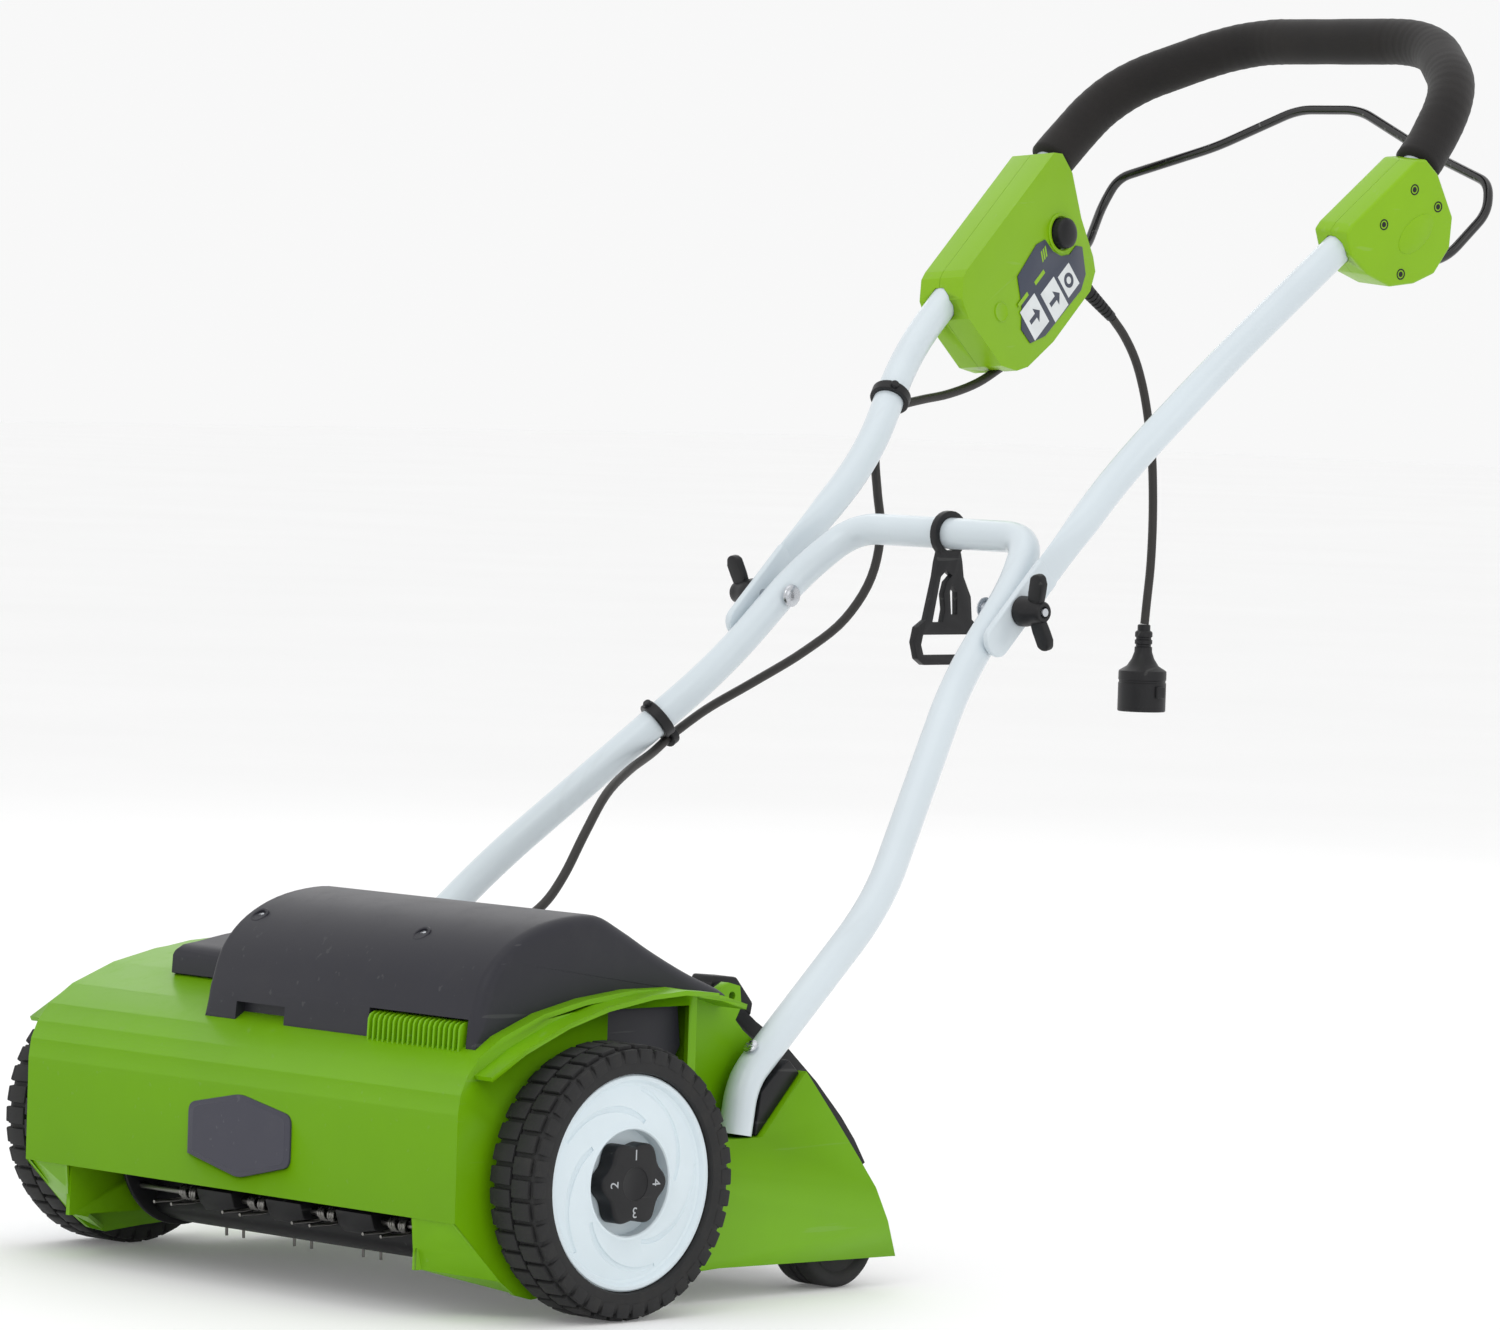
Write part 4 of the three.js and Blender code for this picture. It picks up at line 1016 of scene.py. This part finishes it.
def smooth_outline(points, per_span):
    return [(p.y, p.z) for p in laid_curve([(0, y, z) for y, z in points], per_span)]


def make_cover():
    """The hood over the motor, rounded at both ends, with its stepped block beside it."""
    crest = [HOOD[0], *smooth_outline(HOOD[1:-1], 4), HOOD[-1]]
    hood = prism_x([*crest, *DECK_TOP], HOOD_FAR, HOOD_NEAR)

    def on_crest(a, b, fold):
        return fold > 60 and all(
            min(abs(p.y - y) + abs(p.z - z) for y, z in crest) < 0.1 for p in (a, b))

    def near_end(a, b, fold):
        return min(a.x, b.x) > HOOD_NEAR - 0.1 and on_crest(a, b, fold)

    def far_end(a, b, fold):
        return max(a.x, b.x) < HOOD_FAR + 0.1 and on_crest(a, b, fold)

    def step_end(a, b, fold):
        return fold > 60 and max(a.x, b.x) < STEP_FAR + 0.1 and min(a.z, b.z) > 233

    # The two cut-outs come before the rounding, because cutting needs faces that don't cross.
    cut_by(hood, block((-34, -130, 185), (20, -88, 208)))
    cut_by(hood, block((112, -130, 185), (218, -84, 215.5)))
    round_chosen(hood, 10, 7, near_end, False)
    round_chosen(hood, 5, 4, far_end, False)
    settle(hood)
    step = prism_x([*smooth_outline(STEP, 3), (45, 230), (0, 225), (-42, 215)], STEP_FAR, -60)
    round_chosen(step, 4, 4, step_end, False)
    done(joined([hood, step]), "hood", COVER_GREY, "deck", ["motor_cover"], 40)
    out = Vector((0, -0.62, 0.78)).normalized()
    wells = [turned([
        (0, -3), (7.6, -3), (7.6, 0.6), (7.0, 1.1), (5.8, 1.1), (5.2, 0.6), (5.2, -1.6), (0, -1.6)], 36,
        centre=spot, axis=out) for spot in HOOD_SCREWS]
    done(joined(wells), "hood_screw_wells", COVER_GREY, "deck")
    heads = [turned([
        (0, -1.8), (4.2, -1.8), (4.3, -0.6), (3.4, 0.1), (1.2, 0.3), (1.1, -0.5), (0, -0.5)], 24,
        centre=spot, axis=out) for spot in HOOD_SCREWS]
    done(joined(heads), "hood_screws", ZINC, "deck")


def make_guards():
    guard = softened(from_node("belt_guard"), 1.0, 2, 45)
    done(guard, "belt_cover", COVER_GREY, "deck", ["belt_guard"])
    flap = from_node("rear_flap")
    round_chosen(flap, 1.1, 2, lambda a, b, fold: fold > 40 and (a - b).length > 4)
    rib_outline = [
        (196, 213.5), (217, 199.4), (250, 179.4), (283, 151.4), (311, 123.2), (326, 105.2),
        (329, 108.2), (314, 126.8), (285, 155.2), (252, 183.4), (219, 203.4), (198, 217)]
    ribs = [softened(prism_x(rib_outline, x - 1.5, x + 1.5), 0.6, 1, 40) for x in range(-150, 151, 50)]
    bracket_outline = [(168, 226), (172, 236), (196, 234), (214, 214), (212, 204), (190, 219)]
    bracket = softened(prism_x(bracket_outline, 172, 196), 2.0, 3, 40)
    boss = turned_x([(0, 196), (8.6, 196), (8.6, 199.4), (7.8, 200.4), (0, 200.4)], (176, 222), 28)
    done(joined([flap, *ribs, bracket, boss]), "rear_guard", GUARD_BLACK, "guard",
         ["rear_flap"])


# ---- wheels -------------------------------------------------------------------------------------
def ring_of(piece, count):
    """Repeats a piece round the front wheel's axis."""
    edit_all(piece)
    bpy.ops.mesh.spin(steps=count - 1, angle=math.tau * (count - 1) / count, dupli=True,
                      center=(0, *AXLE), axis=(1, 0, 0))
    put_down()
    return piece


def make_tyre(side, s):
    """A carcass with two rows of lugs and a row of blocks on each shoulder, staggered by half a pitch."""
    carcass = turned_x([
        (79.2, 250.4), (80.2, 248.8), (84, 247.9), (90, 247.7), (94, 249.2), (96.4, 252.4), (97, 256),
        (97, 288), (96.4, 291.6), (94, 294.8), (90, 296.2), (84, 296), (80.2, 295.2), (79.2, 293.6)],
        AXLE, 96)
    count = 38
    lug, shoulder = (6.5, 95.5, 99.9, 0.9), (6.0, 87, 97.2, 1.2)
    rings = []
    for x0, x1, (half, low, high, soft), shift in (
            (253.6, 271.2, lug, 0), (272.8, 290.4, lug, 0.5),
            (247.3, 252, shoulder, 0), (292, 296.7, shoulder, 0.5)):
        tread = softened(block((x0, -half, low), (x1, half, high)), soft, 2)
        turn = Matrix.Rotation(math.tau * shift / count, 4, "X")
        tread.data.transform(Matrix.Translation((0, *AXLE)) @ turn)
        rings.append(ring_of(tread, count))
    done(handed(joined([carcass, *rings]), s), f"tyre_{side}", TYRE_RUBBER, f"front_wheel_{side}",
         [f"front_tyre_{side}"])


def make_hub(side, s):
    """A dished white hub with five curved grooves round its face."""
    hub = turned_x([
        (9.3, 254), (40, 254), (62, 256), (74, 254), (78, 253.6), (78.6, 254.4), (78.6, 290.8), (77.4, 292),
        (74.8, 292), (73.6, 290.8), (72.4, 288.4), (70.6, 287.4), (56, 289.2), (43, 290.4), (41, 291.7),
        (39.4, 291.7), (38.5, 290.8), (38.5, 281), (9.3, 281)], AXLE, 120)

    def groove_width(distance):
        return (1.9 + 0.6 * math.sin(min(max(distance / 48, 0), 1) * math.pi),) * 2

    grooves = []
    for k in range(5):
        line = []
        for j in range(25):
            t = j / 24
            r = 45.5 + 23 * t
            a = math.tau * k / 5 + 1.15 * t + 0.25 * t * t
            line.append((290.6 - 1.9 * t, AXLE[0] + r * math.cos(a), AXLE[1] + r * math.sin(a)))
        grooves.append(swept(line, groove_width, 12))
    cut_by(hub, joined(grooves))
    done(handed(hub, s), f"hub_{side}", HUB_WHITE, f"front_wheel_{side}",
         [f"front_hub_{side}"], 28)


def make_dial(side, s):
    """The six-lobed depth knob, with its journal and its pin set off-centre behind it."""
    rim = []
    for i in range(90):
        t = math.tau * i / 90
        r = 29.2 + 2.6 * math.cos(6 * t)
        rim.append((AXLE[0] + r * math.cos(t), AXLE[1] + r * math.sin(t)))
    knob = prism_x(rim, 282, DIAL_FACE)
    round_chosen(knob, 2.6, 5, lambda a, b, fold: fold > 60 and min(a.x, b.x) > DIAL_FACE - 0.1)
    dish = turned_x([(0, 298), (12.6, 298), (12.2, 296.5), (10.8, 295.6), (0, 295.3)], AXLE, 48)
    cut_by(knob, dish)
    journal = turned_x([(0, 246.3), (8.6, 246.3), (9, 246.8), (9, 283), (0, 283)], AXLE, 40)
    pin = turned_x([(0, 234.6), (6.6, 234.6), (7, 235.2), (7, 248), (0, 248)], PIVOT, 40)
    done(handed(joined([knob, journal, pin]), s), f"depth_dial_{side}", BLACK_PLASTIC,
         f"depth_adjuster_{side}", [f"depth_knob_{side}"])
    numerals = [dial_numeral(k, s) for k in range(4)]
    done(joined(numerals), f"dial_numbers_{side}", PRINT_GREY, f"depth_adjuster_{side}")


def dial_numeral(k, s):
    """One figure on the dial's face, a quarter turn on from the one before and upright as it turns."""
    put_down()
    bpy.ops.object.text_add()
    text = bpy.context.object.data
    text.body = str(k + 1)
    text.size = 11
    text.align_x = text.align_y = "CENTER"
    text.extrude = 0.14
    bpy.ops.object.convert(target="MESH")
    figure = bpy.context.object
    upright = Matrix(((0, 0, 1, 0), (1, 0, 0, 0), (0, 1, 0, 0), (0, 0, 0, 1)))
    if s < 0:
        upright = Matrix.Rotation(math.pi, 4, "Z") @ upright
    centre = Matrix.Translation((s * (DIAL_FACE + 0.05), *AXLE))
    quarter = Matrix.Rotation(math.tau * k / 4, 4, "X")
    figure.data.transform(centre @ quarter @ Matrix.Translation((0, 0, 20.4)) @ upright)
    return settle(figure, False)


def make_rear_wheel(side, s):
    wheel = turned_x([
        (5.3, 193), (9, 192.4), (12, 194), (26, 195), (29, 193), (34, 192), (36.4, 192.8), (37.7, 194.4),
        (38, 196.4), (38, 206), (37, 206.6), (37, 208.4), (38, 209), (38, 213), (37, 213.6), (37, 215.4),
        (38, 216), (38, 225.6), (37.7, 227.6), (36.4, 229.2), (34, 230), (29, 229), (26, 227), (12, 228),
        (9, 229.6), (5.3, 229)], REAR_AXLE, 72)
    done(handed(wheel, s), f"roller_{side}", TYRE_RUBBER, f"rear_roller_{side}",
         [f"rear_wheel_{side}"])


# ---- reel ---------------------------------------------------------------------------------------
TINE_ROWS = 4
TINE_PITCH = 78
WIRE_R = 1.25


def row_angle(i):
    return math.pi / 2 + 0.35 + i * math.tau / TINE_ROWS


def tines_in(i):
    """The rows hold five and four double tines in turn."""
    return 4 if i % 2 else 5


def pitched(count):
    """Places along the reel, one pitch apart and even about the middle."""
    return [(k - (count - 1) / 2) * TINE_PITCH for k in range(count)]


def on_reel(r, across, angle):
    return (REEL[0] + r * math.cos(angle) - across * math.sin(angle),
            REEL[1] + r * math.sin(angle) + across * math.cos(angle))


def make_reel():
    """A drum with a trough along each row of tines, between two end discs."""
    trough = ((-34, 57), (-22, 59), (-10, 61), (-3, 61), (0, 57), (4, 44), (9, 39.5), (18, 37.5), (27, 39.5),
              (33, 46), (37, 53), (42, 56))
    outline = [on_reel(r, 0, row_angle(i) + math.radians(degrees))
               for i in range(TINE_ROWS) for degrees, r in trough]
    drum = softened(prism_x(outline, -175.5, 175.5), 1.2, 2, 40)
    discs = [turned_x([
        (0, x), (58, x), (61.2, x + 0.7), (62, x + 1.6), (62, x + 3.4), (61.2, x + 4.3), (58, x + 5),
        (0, x + 5)], REEL, 64) for x in (-180, 175)]
    shaft = turned_x([(0, -204), (7.4, -204), (8, -203.4), (8, 212.6), (7.4, 213.2), (0, 213.2)], REEL, 32)
    lid = ((40, 2), (60.4, 3), (60.4, 14), (57, 22), (46, 26), (38, 24))
    collars = []
    for i in range(TINE_ROWS):
        collar = [on_reel(r, across, row_angle(i)) for r, across in lid]
        for x in pitched(tines_in(i) - 1):
            collars.append(softened(prism_x(collar, x - 20, x + 20), 1.6, 2, 25))
    done(joined([drum, *discs, shaft, *collars]), "reel_drum", BLACK_PLASTIC, "reel",
         ["reel_rotor"])


def make_tine(x, s, centre, angle):
    """Half of a double tine: three coils round the bar, then a leg that reaches past the drum."""
    turns, per_turn, coil_r = 3, 12, 4.7
    line = []
    for j in range(turns * per_turn + 1):
        a = angle + math.pi * 0.5 - math.tau * j / per_turn
        line.append((x + s * (2.4 + 7.2 * j / (turns * per_turn)),
                     centre[0] + coil_r * math.cos(a), centre[1] + coil_r * math.sin(a)))
    for r, across in ((53, 17.6), (60, 15.8), (67, 13.2), (73, 10.9), (77.5, 9.4), (79.2, 9.0)):
        line.append((x + s * 9.8, *on_reel(r, across, angle)))
    return swept(line, WIRE_R, 8)


def make_tine_row(i):
    angle = row_angle(i)
    centre = on_reel(50, 13, angle)
    bar = turned_x([
        (0, -183), (2.2, -183), (2.5, -182.6), (2.5, 182.6), (2.2, 183), (0, 183)], centre, 16)
    tines = [make_tine(x, s, centre, angle) for x in pitched(tines_in(i)) for s in (-1, 1)]
    done(joined([bar, *tines]), f"tine_row_{i + 1}", TINE_STEEL, "reel", [f"tine_bar_{i + 1}"])


# ---- plain nodes that keep their own shape ------------------------------------------------------
def paint_kept_nodes():
    """Finishes for the CAD nodes that show as they are."""
    kept = {
        "motor": DARK_STEEL, "motor_pulley": ZINC, "drive_belt": BELT_RUBBER, "reel_pulley": BLACK_PLASTIC,
        "reel_bearing_right": ZINC, "reel_bearing_left": ZINC, "flap_hinge_rod": ZINC, "rear_axle": ZINC,
        "switch_block": BLACK_PLASTIC,
    }
    for name, finish in kept.items():
        mesh = frame["nodes"][name].data
        mesh.materials.clear()
        mesh.materials.append(finish)


def lay_floor():
    put_down()
    bpy.ops.mesh.primitive_plane_add(size=60, location=(0, 0, -0.0004))
    floor = bpy.context.object
    floor.name = "floor"
    floor.data.materials.append(FLOOR)


set_up_camera()
set_up_studio()
make_power_cord()
make_motor_cable()
make_lower_handle()
make_upper_handle()
make_foam_grip()
make_bail()
make_hook()
make_clip("cable_clasp_upper", "cable_clip_upper", "handle_top", (-159.4, 702, 662.7), (-34, 77, 87),
          (-171.7, 709, 650), (7, -35, -21))
make_clip("cable_clasp_lower", "cable_clip_lower", "deck", (-153.7, 443.3, 402.7), (85, 167, 162),
          (-153.5, 457, 388.5), (5, -43, -23))
make_left_housing()
make_label()
make_right_housing()
make_deck()
make_badge()
make_cover()
make_guards()
make_reel()
for tine_row in range(TINE_ROWS):
    make_tine_row(tine_row)
for side_name, sign in SIDES:
    make_bolt_and_knob(side_name, sign)
    make_foot(side_name, sign)
    make_tyre(side_name, sign)
    make_hub(side_name, sign)
    make_dial(side_name, sign)
    make_rear_wheel(side_name, sign)
paint_kept_nodes()
lay_floor()
put_down()
